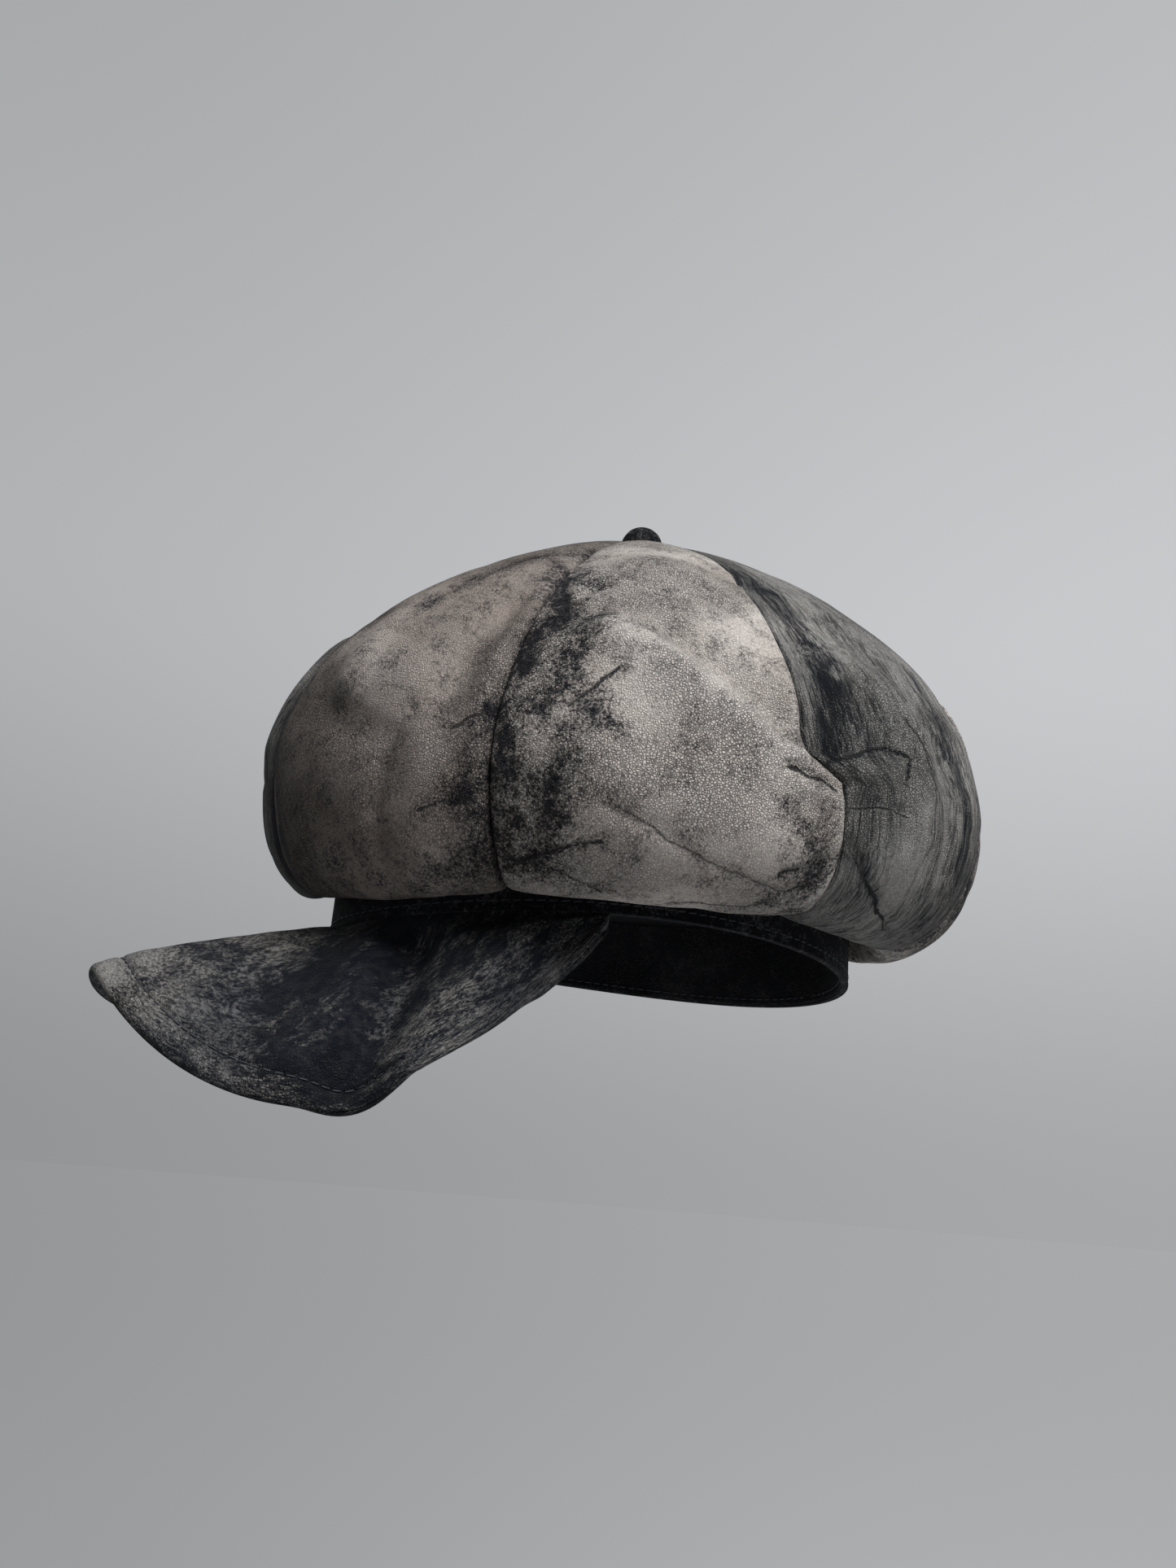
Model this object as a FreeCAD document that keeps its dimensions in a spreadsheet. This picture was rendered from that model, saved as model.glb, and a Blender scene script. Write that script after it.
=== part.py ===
import FreeCAD, Part
import Sketcher

import math
import os

from FreeCAD import Placement, Rotation, Vector

# Newsboy cap in millimetres. +Z points up out of the wearer's head, -Y is the front (the visor)
# and +X is the wearer's left. The origin is the middle of the head opening, level with the
# lower edge of the band at the wearer's ears.

# Driving dimensions: alias, value, meaning.
DRIVING_SIZES = [
    ("head_half_width", 81.3, "inside of the sweatband, ear to ear, halved"),
    ("head_half_length", 103.3, "inside of the sweatband, forehead to nape, halved"),
    ("sweatband_wall", 1.2, "sweatband leather"),
    ("sweatband_height", 31.0, "sweatband top above the ears' edge"),
    ("stiffener_wall", 0.9, "buckram strip"),
    ("stiffener_height", 34.0, "buckram top above the ears' edge"),
    ("headband_wall", 1.3, "headband leather"),
    ("headband_height", 38.0, "headband top above the ears' edge"),
    ("band_dip", 6.0, "how far the band's edge dips at forehead and nape"),
    ("layer_gap", 0.15, "air between the layers of the band"),
    ("crown_overhang", 33.0, "crown's widest seams outside the headband's front"),
    ("crown_rise", 113.0, "widest level to the apex, along the crown's own axis"),
    ("crown_level", 60.0, "widest level above the origin, on the crown's axis"),
    ("crown_shift_left", 5.0, "crown's axis, towards the wearer's left"),
    ("crown_shift_back", 4.0, "crown's axis, towards the nape"),
    ("crown_lean", 13.0, "lean of the crown's axis, degrees"),
    ("crown_lean_way", -26.0, "direction of the lean, degrees from +X towards +Y"),
    ("panel_puff", 5.5, "bulge of each panel between its seams"),
    ("fold_height", 12.0, "fold above the origin, on the crown's axis"),
    ("fold_lift", 12.5, "shallower fold on the side that the crown leans to"),
    ("fold_lift_way", -12.0, "middle of that side, degrees from +X towards +Y"),
    ("fold_drop_back", 5.0, "deeper fold at the nape than at the ears"),
    ("fold_stand_off", 6.0, "fold outside the headband's front, so that it clears the band"),
    ("fold_run_back", 8.0, "longer turn at the nape, shorter at the forehead"),
    ("crown_wall", 1.3, "crown leather"),
    ("seam_gap", 0.2, "air between neighbouring panels"),
    ("sewn_gap", 0.3, "air between the panels' sewn edge and the headband"),
    ("panel_tip_radius", 3.5, "hole that the panels' tips leave round the crown's axis"),
    ("lining_wall", 0.5, "lining cloth"),
    ("lining_gap", 1.0, "air between the crown leather and the lining"),
    ("visor_reach", 82.0, "visor from the headband's front to its tip"),
    ("visor_half_width", 84.0, "visor's widest, halved"),
    ("visor_half_span", 71.0, "band angle from the front to a visor corner, degrees"),
    ("visor_tip_drop", 31.0, "visor's tip below the origin"),
    ("visor_drop_left", 72.0, "how far the visor hangs below its middle on the left"),
    ("visor_drop_right", 25.0, "the same on the right, where it is less bent"),
    ("visor_crowning", 1.0, "bulge of the visor between the band and its edge"),
    ("visor_wall", 1.2, "visor leather"),
    ("visor_board_wall", 1.6, "visor board"),
    ("visor_board_margin", 4.0, "board short of the visor's edge"),
    ("visor_layer_gap", 0.15, "air between the layers of the visor"),
    ("visor_seat_gap", 0.45, "air between the visor and the band's edge"),
    ("visor_tuck", 0.4, "visor's sewn edge in under the headband"),
    ("button_radius", 8.5, "button"),
    ("button_rise", 7.5, "button, seat to top"),
    ("button_leather", 0.9, "button's leather"),
    ("button_metal", 0.5, "button's pressed shell"),
    ("button_back_radius", 5.0, "disc that closes the shell"),
    ("button_back_wall", 0.8, "disc that closes the shell"),
    ("button_gap", 0.2, "air between the button's pieces and under the button"),
    ("thread_radius", 0.6, "button's thread shank"),
    ("thread_hole_gap", 0.1, "air round the thread in the patch"),
    ("patch_radius", 6.0, "leather patch inside the apex"),
    ("patch_wall", 0.4, "leather patch inside the apex"),
]

PANEL_COUNT = 8
PANEL_PLACES = ["front_left", "left_front", "left_back", "back_left",
                "back_right", "right_back", "right_front", "front_right"]
FRONT_ANGLE = -90.0     # polar angle of the front seam, degrees

DOME_POWER = 1.4        # below 2 the dome comes to a soft point at the button
PUFF_POWER = 0.75       # below 1 the panels round over near their seams
PUFF_START = 0.08       # the bulge grows from here, in stations from the tip,
PUFF_FULL = 0.7         # is whole here,
PUFF_FADE = 1.2         # fades from here
PUFF_END = 2.6          # and is gone here
ACROSS_STEPS = 6        # spans across a panel
DOME_STEPS = 8          # spans from the tip to the widest level
CURL_STEPS = 6          # spans from the widest level to the fold
TUCK_STEPS = 8          # spans from the fold up to the band
TUCK_ROUNDNESS = 1.5    # how squarely the leather turns up under the fold
VISOR_STEPS = 28        # spans along the visor's edge
VISOR_RISE_STEPS = 8    # spans from the band to the visor's edge
VISOR_PLAN_POWER = 0.8  # below 1 the visor's edge is fuller than an ellipse
VISOR_CHEEK_POWER = 5.2 # how late the cheeks come back up to the corners
VISOR_RIDGE = 0.24      # roundness of the ridge along the visor's middle
VISOR_END = 0.985       # the layers stop just short of the pointed corners
VISOR_BULGE_RISE = 2.0  # how much more up than out the visor bulges
SLOPE_STEP = 0.004      # finite step that gives a surface's direction
SAME_WAY = 1            # a ruled face joins its two edges start to start

doc = FreeCAD.newDocument("newsboy_cap")
sheet = doc.addObject("Spreadsheet::Sheet", "sizes")
for row, (alias, value, meaning) in enumerate(DRIVING_SIZES, start=1):
    sheet.set("A%d" % row, alias)
    sheet.set("B%d" % row, str(value))
    sheet.set("C%d" % row, meaning)
    sheet.setAlias("B%d" % row, alias)
doc.recompute()


def size(alias):
    return float(sheet.get(alias))


sub_parts = []


def keep(piece, name):
    piece.Label = name
    sub_parts.append(piece)
    return piece


# ---- Plan of the band -------------------------------------------------------------------

SWEATBAND_OUTSIDE = "sizes.sweatband_wall"
STIFFENER_INSIDE = SWEATBAND_OUTSIDE + " + sizes.layer_gap"
STIFFENER_OUTSIDE = STIFFENER_INSIDE + " + sizes.stiffener_wall"
HEADBAND_INSIDE = STIFFENER_OUTSIDE + " + sizes.layer_gap"
HEADBAND_OUTSIDE = HEADBAND_INSIDE + " + sizes.headband_wall"


def headband_growth():
    """How far the headband's outside lies outside the sweatband's inside."""
    walls = size("sweatband_wall") + size("stiffener_wall") + size("headband_wall")
    return walls + 2 * size("layer_gap")


def band_half_width():
    return size("head_half_width") + headband_growth()


def band_half_length():
    return size("head_half_length") + headband_growth()


def crown_radius():
    """Middle of the crown to a seam at its widest level."""
    return band_half_length() + size("crown_overhang")


def dip_arc_radius():
    """Radius of the arc that dips the band's lower edge at forehead and nape."""
    dip = size("band_dip")
    return (band_half_length() ** 2 + dip ** 2) / (2 * dip)


def band_edge_height(y):
    """Height of the band's lower edge at a distance y from the ears."""
    radius = dip_arc_radius()
    return math.sqrt(radius ** 2 - y ** 2) - radius


def band_radius(angle):
    """Distance from the origin to the headband's outside, at a polar angle."""
    across = math.cos(angle) / band_half_width()
    along = math.sin(angle) / band_half_length()
    return 1.0 / math.hypot(across, along)


def oval_column(name, growth, bottom, top):
    """Upright oval solid whose half sizes are the head's plus a growth."""
    oval = doc.addObject("Part::Ellipse", name + "_oval")
    oval.setExpression("MajorRadius", "sizes.head_half_length" + growth)
    oval.setExpression("MinorRadius", "sizes.head_half_width" + growth)
    oval.Placement = Placement(Vector(0, 0, 0), Rotation(Vector(0, 0, 1), 90))
    oval.setExpression(".Placement.Base.z", bottom)
    column = doc.addObject("Part::Extrusion", name + "_column")
    column.Base = oval
    column.DirMode = "Custom"
    column.Dir = Vector(0, 0, 1)
    column.Solid = True
    column.setExpression("LengthFwd", "%s - (%s)" % (top, bottom))
    return column


def subtract(name, base, tool):
    cut = doc.addObject("Part::Cut", name)
    cut.Base = base
    cut.Tool = tool
    return cut


def dip_cutter(name):
    """Wide cylinder across the cap that cuts the dipping lower edge."""
    cutter = doc.addObject("Part::Cylinder", name + "_dip")
    half_length = "(sizes.head_half_length + %s)" % HEADBAND_OUTSIDE
    radius = "(pow(%s; 2) + pow(sizes.band_dip; 2)) / (2 * sizes.band_dip)" % half_length
    cutter.setExpression("Radius", radius)
    cutter.setExpression("Height", "4 * sizes.head_half_width")
    turn = Rotation(Vector(0, 1, 0), 90)
    cutter.Placement = Placement(Vector(0, 0, 0), turn)
    cutter.setExpression(".Placement.Base.x", "-2 * sizes.head_half_width")
    cutter.setExpression(".Placement.Base.z", "-(%s)" % radius)
    return cutter


def band_layer(name, inside, outside, top):
    bottom = "-2 * sizes.band_dip"
    outer = oval_column(name + "_outside", outside, bottom, top)
    inner = oval_column(name + "_inside", inside, bottom, top)
    ring = subtract(name + "_ring", outer, inner)
    return keep(subtract(name, ring, dip_cutter(name)), name)


band_layer("sweatband", "", " + " + SWEATBAND_OUTSIDE, "sizes.sweatband_height")
band_layer("band_stiffener", " + " + STIFFENER_INSIDE, " + " + STIFFENER_OUTSIDE,
           "sizes.stiffener_height")
band_layer("headband", " + " + HEADBAND_INSIDE, " + " + HEADBAND_OUTSIDE,
           "sizes.headband_height")


# ---- Curved skins -----------------------------------------------------------------------

def direction_across(surface, along, across):
    """Unit vector out of a surface, from two short steps on it."""
    step = SLOPE_STEP
    ahead = surface(along + step, across) - surface(along - step, across)
    aside = surface(along, across + step) - surface(along, across - step)
    return ahead.cross(aside).normalize()


def offset_grid(surface, stations, shares, depth):
    """Points of a surface pushed in by a depth, one row for each station."""
    rows = []
    for along in stations:
        row = []
        for across in shares(along):
            outward = direction_across(surface, along, across)
            row.append(surface(along, across) - outward * depth)
        rows.append(row)
    return rows


def skin_solid(outer_rows, inner_rows):
    """Closed thin solid between two grids of points."""
    faces = []
    for rows in (outer_rows, inner_rows):
        spline = Part.BSplineSurface()
        spline.interpolate(rows)
        faces.append(spline.toShape())
    for outer_edge, inner_edge in zip(faces[0].Edges, faces[1].Edges):
        faces.append(Part.makeRuledSurface(outer_edge, inner_edge, SAME_WAY))
    shell = Part.makeCompound(faces)
    shell.sewShape()
    solid = Part.makeSolid(shell)
    if solid.Volume < 0:
        solid.reverse()
    return solid


def skin_piece(name, surface, stations, shares, depth, wall):
    outer = offset_grid(surface, stations, shares, depth)
    inner = offset_grid(surface, stations, shares, depth + wall)
    piece = doc.addObject("Part::Feature", name)
    piece.Shape = skin_solid(outer, inner)
    piece.Placement = Placement()
    return keep(piece, name)


# ---- Crown ------------------------------------------------------------------------------

def crown_turn():
    """Rotation from upright to the crown's leaning axis."""
    way = math.radians(size("crown_lean_way"))
    hinge = Vector(-math.sin(way), math.cos(way), 0)
    return Rotation(hinge, size("crown_lean"))


def crown_middle():
    return Vector(size("crown_shift_left"), size("crown_shift_back"), size("crown_level"))


CROWN_TURN = crown_turn()
CROWN_UP = CROWN_TURN.multVec(Vector(0, 0, 1))


def crown_outward(angle):
    return CROWN_TURN.multVec(Vector(math.cos(angle), math.sin(angle), 0))


def dome_height(share):
    """Height of the dome, 1 at the apex, at a share of its radius."""
    return math.sqrt(max(0.0, 1.0 - share ** DOME_POWER))


def apex_sag(radius):
    """How far the crown has dropped at a radius from its axis."""
    return size("crown_rise") * (1.0 - dome_height(radius / crown_radius()))


def dome_point(angle, along):
    share = math.sin(along * math.pi / 2)
    outward = crown_outward(angle) * (crown_radius() * share)
    return crown_middle() + outward + CROWN_UP * (size("crown_rise") * dome_height(share))


def fold_depth(angle):
    toward_side = max(0.0, math.cos(angle - math.radians(size("fold_lift_way"))))
    depth = size("crown_level") - size("fold_height") - size("fold_lift") * toward_side ** 2
    return depth + size("fold_drop_back") * math.sin(angle)


def fold_turn(angle):
    run = size("crown_overhang") - size("fold_stand_off")
    return run + size("fold_run_back") * math.sin(angle)


def fold_point(angle):
    inward = crown_outward(angle) * (crown_radius() - fold_turn(angle))
    return crown_middle() + inward - CROWN_UP * fold_depth(angle)


def curl_point(angle, along):
    turn = (along - 1.0) * math.pi / 2
    out = crown_outward(angle) * (fold_turn(angle) * math.cos(turn))
    up = CROWN_UP * (fold_depth(angle) * (1.0 - math.sin(turn)))
    return fold_point(angle) + out + up


def sewn_point(fold):
    """Where a panel meets the headband, just below its top edge and above its fold."""
    angle = math.atan2(fold.y, fold.x)
    radius = band_radius(angle) + size("sewn_gap")
    height = size("headband_height") - size("headband_wall")
    return Vector(radius * math.cos(angle), radius * math.sin(angle), height)


def tuck_point(angle, along):
    """Smooth run from the fold, inwards and up to the sewn edge."""
    share = along - 2.0
    fold = fold_point(angle)
    sewn = sewn_point(fold)
    leave = Vector(sewn.x - fold.x, sewn.y - fold.y, 0) * TUCK_ROUNDNESS
    arrive = Vector(0, 0, max(sewn.z - fold.z, size("crown_wall")))
    square = share * share
    cube = square * share
    start_weight = 2 * cube - 3 * square + 1
    leave_weight = cube - 2 * square + share
    end_weight = 3 * square - 2 * cube
    arrive_weight = cube - square
    from_fold = fold * start_weight + leave * leave_weight
    return from_fold + sewn * end_weight + arrive * arrive_weight


def seam_line_point(angle, along):
    if along <= 1.0:
        return dome_point(angle, along)
    if along <= 2.0:
        return curl_point(angle, along)
    return tuck_point(angle, along)


def ease(low, high, value):
    share = min(max((value - low) / (high - low), 0.0), 1.0)
    return share * share * (3.0 - 2.0 * share)


def puff_weight(along):
    """No bulge at the tip, full at the widest level, none at the sewn edge."""
    grown = ease(PUFF_START, PUFF_FULL, along)
    return grown * (1.0 - ease(PUFF_FADE, PUFF_END, along))


def crown_surface(seam_angle):
    """Outside of the panel that starts at a seam: along 0 to 3, across 0 to 1."""
    panel_angle = 2 * math.pi / PANEL_COUNT

    def surface(along, across):
        angle = seam_angle + panel_angle * across
        point = seam_line_point(angle, along)
        bulge = size("panel_puff") * puff_weight(along)
        arch = math.sin(math.pi * min(max(across, 0.0), 1.0)) ** PUFF_POWER
        lift = math.sin(min(along, 2.0) * math.pi / 2)
        drift = math.cos(min(along, 2.0) * math.pi / 2)
        outward = crown_outward(angle) * lift + CROWN_UP * drift
        return point + outward * (bulge * arch)

    return surface


def crown_stations():
    tip = math.asin(size("panel_tip_radius") / crown_radius()) * 2 / math.pi
    dome = [tip + (1.0 - tip) * step / DOME_STEPS for step in range(DOME_STEPS)]
    curl = [1.0 + step / CURL_STEPS for step in range(CURL_STEPS)]
    tuck = [2.0 + step / TUCK_STEPS for step in range(TUCK_STEPS)]
    return dome + curl + tuck + [3.0 - SLOPE_STEP]


def panel_shares(seam_angle):
    """Shares across a panel that keep the seam gap at every station."""
    panel_angle = 2 * math.pi / PANEL_COUNT

    def shares(along):
        left = seam_line_point(seam_angle, along)
        right = seam_line_point(seam_angle + panel_angle, along)
        margin = size("seam_gap") / 2 / left.distanceToPoint(right)
        spread = 1.0 - 2 * margin
        return [margin + spread * step / ACROSS_STEPS for step in range(ACROSS_STEPS + 1)]

    return shares


def crown_and_lining():
    stations = crown_stations()
    lining_depth = size("crown_wall") + size("lining_gap")
    for number, place in enumerate(PANEL_PLACES):
        seam_angle = math.radians(FRONT_ANGLE + number * 360.0 / PANEL_COUNT)
        surface = crown_surface(seam_angle)
        shares = panel_shares(seam_angle)
        skin_piece("crown_panel_" + place, surface, stations, shares, 0.0, size("crown_wall"))
        skin_piece("lining_gore_" + place, surface, stations, shares, lining_depth,
                   size("lining_wall"))


crown_and_lining()


# ---- Visor ------------------------------------------------------------------------------

def visor_root(share):
    """Sewn edge of the visor, just under the headband's lower edge."""
    angle = math.radians(size("visor_half_span")) * share
    x = -(band_half_width() - size("visor_tuck")) * math.sin(angle)
    y = -(band_half_length() - size("visor_tuck")) * math.cos(angle)
    return Vector(x, y, band_edge_height(y) - size("visor_seat_gap"))


def visor_rim(share):
    """Free edge of the visor: a full crescent whose cheeks hang down."""
    turn = share * math.pi / 2
    forward = max(math.cos(turn), 0.0) ** VISOR_PLAN_POWER
    corner = visor_root(1.0)
    reach = band_half_length() + size("visor_reach") + corner.y
    aside = math.sin(turn)
    whole_ridge = math.hypot(1, VISOR_RIDGE) - VISOR_RIDGE
    ridge = (math.hypot(aside, VISOR_RIDGE) - VISOR_RIDGE) / whole_ridge
    cheek = ridge * (1.0 - abs(share) ** VISOR_CHEEK_POWER)
    drop = size("visor_drop_left") if aside < 0 else size("visor_drop_right")
    x = -size("visor_half_width") * aside
    y = corner.y - reach * forward
    middle_drop = (size("visor_tip_drop") + corner.z) * forward
    return Vector(x, y, corner.z - middle_drop - drop * cheek)


def visor_surface(along, across):
    """Top of the visor: along -1 to 1 from left corner to right, across 0 to 1 to the rim."""
    root = visor_root(along)
    rim = visor_rim(along)
    angle = math.radians(size("visor_half_span")) * along
    outward = Vector(-math.sin(angle), -math.cos(angle), VISOR_BULGE_RISE).normalize()
    bulge = size("visor_crowning") * math.sin(math.pi * min(max(across, 0.0), 1.0))
    return root + (rim - root) * across + outward * (bulge * math.cos(angle))


def visor_stations():
    return [VISOR_END * (2.0 * step / VISOR_STEPS - 1.0) for step in range(VISOR_STEPS + 1)]


def visor_shares(margin):
    """Shares from the band to a margin short of the free edge."""

    def shares(along):
        width = visor_root(along).distanceToPoint(visor_rim(along))
        last = 1.0 - min(margin / width, 0.5)
        return [last * step / VISOR_RISE_STEPS for step in range(VISOR_RISE_STEPS + 1)]

    return shares


def visor_layers():
    stations = visor_stations()
    gap = size("visor_layer_gap")
    board_depth = size("visor_wall") + gap
    under_depth = board_depth + size("visor_board_wall") + gap
    whole = visor_shares(0.0)
    short = visor_shares(size("visor_board_margin"))
    skin_piece("visor_top", visor_surface, stations, whole, 0.0, size("visor_wall"))
    skin_piece("visor_board", visor_surface, stations, short, board_depth,
               size("visor_board_wall"))
    skin_piece("visor_under", visor_surface, stations, whole, under_depth, size("visor_wall"))


visor_layers()


# ---- Button -----------------------------------------------------------------------------

def on_crown_axis(height):
    """Placement on the crown's leaning axis, at a height over the apex."""
    apex = crown_middle() + CROWN_UP * (size("crown_rise") + height)
    return Placement(apex, CROWN_TURN)


def button_cap(name, inset):
    """Spherical cap whose rim lies on z = 0, shrunk evenly by an inset."""
    cap = doc.addObject("Part::Sphere", name)
    rim = "sizes.button_radius"
    rise = "sizes.button_rise"
    sphere = "((pow(%s; 2) + pow(%s; 2)) / (2 * %s))" % (rim, rise, rise)
    cap.setExpression("Radius", "%s - (%s)" % (sphere, inset))
    below = "(%s - %s)" % (sphere, rise)
    cap.setExpression("Angle1", "asin(%s / (%s - (%s)))" % (below, sphere, inset))
    cap.setExpression(".Placement.Base.z", "-%s" % below)
    return cap


def button_dome(name, outer_inset, inner_inset):
    dome = subtract(name, button_cap(name + "_outside", outer_inset),
                    button_cap(name + "_inside", inner_inset))
    dome.Placement = on_crown_axis(button_seat())
    return keep(dome, name)


def button_seat():
    """The shell's rim rests a gap above the crown that falls away under it."""
    walls = size("button_leather") + size("layer_gap") + size("button_metal")
    return size("button_gap") - apex_sag(size("button_radius") - walls)


def origin_plane(body, role):
    return [item for item in body.Origin.OriginFeatures if item.Role == role][0]


def disc_body(name, radius, wall, hole=None):
    """Flat disc padded downwards from z = 0, with a round hole when one is asked for."""
    body = doc.addObject("PartDesign::Body", name)
    sketch = body.newObject("Sketcher::SketchObject", name + "_outline")
    sketch.AttachmentSupport = [(origin_plane(body, "XY_Plane"), "")]
    sketch.MapMode = "FlatFace"
    for circle_radius in [radius] + ([hole] if hole else []):
        circle = Part.Circle(Vector(0, 0, 0), Vector(0, 0, 1), 1.0)
        index = sketch.addGeometry(circle, False)
        sketch.addConstraint(Sketcher.Constraint("Coincident", index, 3, -1, 1))
        number = sketch.addConstraint(Sketcher.Constraint("Radius", index, 1.0 + index))
        sketch.setExpression("Constraints[%d]" % number, circle_radius)
    pad = body.newObject("PartDesign::Pad", name + "_pad")
    pad.Profile = sketch
    pad.Reversed = True
    pad.setExpression("Length", wall)
    body.Tip = pad
    return keep(body, name)


def button():
    leather = "sizes.button_leather"
    shell_outside = leather + " + sizes.layer_gap"
    button_dome("button_cover", "0", leather)
    button_dome("button_shell", shell_outside, shell_outside + " + sizes.button_metal")

    back = disc_body("button_back", "sizes.button_back_radius", "sizes.button_back_wall")
    back_bottom = size("button_gap")
    back.Placement = on_crown_axis(back_bottom + size("button_back_wall"))

    patch = disc_body("apex_patch", "sizes.patch_radius", "sizes.patch_wall",
                      "sizes.thread_radius + sizes.thread_hole_gap")
    patch_top = -(size("crown_wall") + apex_sag(size("patch_radius")) + size("layer_gap"))
    patch.Placement = on_crown_axis(patch_top)

    thread = doc.addObject("Part::Cylinder", "button_thread")
    thread.setExpression("Radius", "sizes.thread_radius")
    thread_bottom = patch_top - size("patch_wall")
    thread.Height = back_bottom - thread_bottom
    thread.Placement = on_crown_axis(thread_bottom)
    keep(thread, "button_thread")


button()


# ---- Check and write --------------------------------------------------------------------

doc.recompute()
for item in doc.Objects:
    if "Invalid" in item.State or "Error" in item.State:
        raise RuntimeError("%s failed: %s" % (item.Label, item.State))
for piece in sub_parts:
    if piece.Shape.isNull() or not piece.Shape.isValid() or not piece.Shape.Solids:
        raise RuntimeError("%s has no valid solid" % piece.Label)

os.makedirs("parts", exist_ok=True)
for piece in sub_parts:
    piece.Shape.exportStep("parts/%s.step" % piece.Label)
    box = piece.Shape.BoundBox
    print("%-28s %9.1f mm3  x %7.1f %7.1f  y %7.1f %7.1f  z %7.1f %7.1f" % (
        piece.Label, piece.Shape.Volume, box.XMin, box.XMax, box.YMin, box.YMax, box.ZMin, box.ZMax))
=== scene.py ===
import math

import bpy
import numpy as np
from mathutils import Matrix, Vector, noise


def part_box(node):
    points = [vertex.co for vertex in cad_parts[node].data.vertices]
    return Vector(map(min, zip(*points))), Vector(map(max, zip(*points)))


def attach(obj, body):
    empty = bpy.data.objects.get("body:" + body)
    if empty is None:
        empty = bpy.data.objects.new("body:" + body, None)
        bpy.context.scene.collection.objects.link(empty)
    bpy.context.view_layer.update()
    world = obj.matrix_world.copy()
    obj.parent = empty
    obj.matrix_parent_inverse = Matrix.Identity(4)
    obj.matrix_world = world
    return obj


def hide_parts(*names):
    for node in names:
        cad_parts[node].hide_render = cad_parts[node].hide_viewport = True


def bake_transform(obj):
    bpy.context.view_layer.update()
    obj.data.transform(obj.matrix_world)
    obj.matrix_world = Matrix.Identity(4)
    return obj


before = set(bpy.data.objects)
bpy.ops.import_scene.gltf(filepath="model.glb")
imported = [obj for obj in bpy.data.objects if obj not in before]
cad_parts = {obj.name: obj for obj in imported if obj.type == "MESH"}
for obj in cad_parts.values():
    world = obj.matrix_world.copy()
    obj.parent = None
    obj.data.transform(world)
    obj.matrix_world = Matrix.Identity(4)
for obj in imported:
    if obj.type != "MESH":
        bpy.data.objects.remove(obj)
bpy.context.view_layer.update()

# Newsboy cap in metres. +Z points up out of the wearer's head, -Y is the front (the visor) and
# +X is the wearer's left. Crown places are (angle, along): the polar angle in degrees about the
# crown's axis, and 0 at the button, 1 at the widest level, 2 at the fold, 3 at the band.
# Visor places are (share, across): -1 at the wearer's left corner to 1 at the right one, and
# 0 at the band to 1 at the rim.

MM = 0.001

band_low, band_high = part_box("headband")
BAND_HALF_WIDTH = band_high.x
BAND_HALF_LENGTH = band_high.y
BAND_TOP = band_high.z
BAND_DIP = -band_low.z
BAND_WALL = 1.3 * MM
SWEATBAND_HALF_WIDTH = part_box("sweatband")[1].x
SWEATBAND_HALF_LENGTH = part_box("sweatband")[1].y
SWEATBAND_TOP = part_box("sweatband")[1].z
SWEATBAND_WALL = 1.2 * MM
HEAD_HALF_WIDTH = SWEATBAND_HALF_WIDTH - SWEATBAND_WALL
HEAD_HALF_LENGTH = SWEATBAND_HALF_LENGTH - SWEATBAND_WALL
BAND_STITCH_HEIGHT = 3.2 * MM
BAND_ROLL = 0.9 * MM
SWEATBAND_STITCH_HEIGHT = 2.6 * MM
SWEATBAND_ROLL = 0.5 * MM
STRIP_WALL = 0.3 * MM
OUTWARDS = 1
INWARDS = -1

PANEL_PLACES = ["front_left", "left_front", "left_back", "back_left",
                "back_right", "right_back", "right_front", "front_right"]
PANEL_TURN = math.radians(360 / len(PANEL_PLACES))
FRONT_ANGLE = math.radians(-90)
CROWN_MIDDLE = np.array([5, 4, 60]) * MM
CROWN_RADIUS = 140 * MM
CROWN_RISE = 113 * MM
CROWN_LEAN = math.radians(13)
CROWN_LEAN_WAY = math.radians(-26)
CROWN_WALL = 1.3 * MM
PANEL_TIP_RADIUS = 3.5 * MM
PANEL_PUFF = 5.5 * MM
SEAM_GAP = 0.2 * MM
SEAM_ROUND = 2.1 * MM
SEAM_PULL = 1.3 * MM
SEAM_PUCKER = 0.35 * MM
SEWN_GAP = 0.3 * MM
FOLD_DROP = 48 * MM
FOLD_LIFT = 12.5 * MM
FOLD_LIFT_WAY = math.radians(-12)
FOLD_DROP_BACK = 5 * MM
FOLD_RUN = 27 * MM
FOLD_RUN_BACK = 8 * MM
DOME_POWER = 1.4
PUFF_POWER = 0.75
CROWN_NAP = (0.050, 0.110)
# Rows, columns and how much closer the columns lie near the seams.
PANEL_GRID = (250, 104, 0.55)
LINING_GRID = (90, 30, 0.4)
TUCK_ROUNDNESS = 1.5
LINING_DEPTH = 3.3 * MM
LINING_WALL = 0.45 * MM
LINING_OVERLAP = 0.4 * MM
LINING_SEAM = 1.2 * MM

VISOR_GRID = (300, 90)
VISOR_NAP = (0.240, 0.060)
VISOR_HALF_SPAN = math.radians(71)
VISOR_END = 0.985
VISOR_TUCK = 0.4 * MM
VISOR_SEAT_GAP = 0.45 * MM
VISOR_REACH = 82 * MM
VISOR_HALF_WIDTH = 84 * MM
VISOR_TIP_DROP = 31 * MM
VISOR_DROP_LEFT = 72 * MM
VISOR_DROP_RIGHT = 25 * MM
VISOR_CROWNING = 1 * MM
VISOR_PLAN_POWER = 0.8
VISOR_CHEEK_POWER = 5.2
VISOR_RIDGE = 0.24
VISOR_WALL = 1.2 * MM
VISOR_BOARD_DEPTH = 1.35 * MM
VISOR_BOARD_WALL = 1.6 * MM
VISOR_BOARD_MARGIN = 4 * MM
VISOR_THICKNESS = 4.3 * MM
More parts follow.
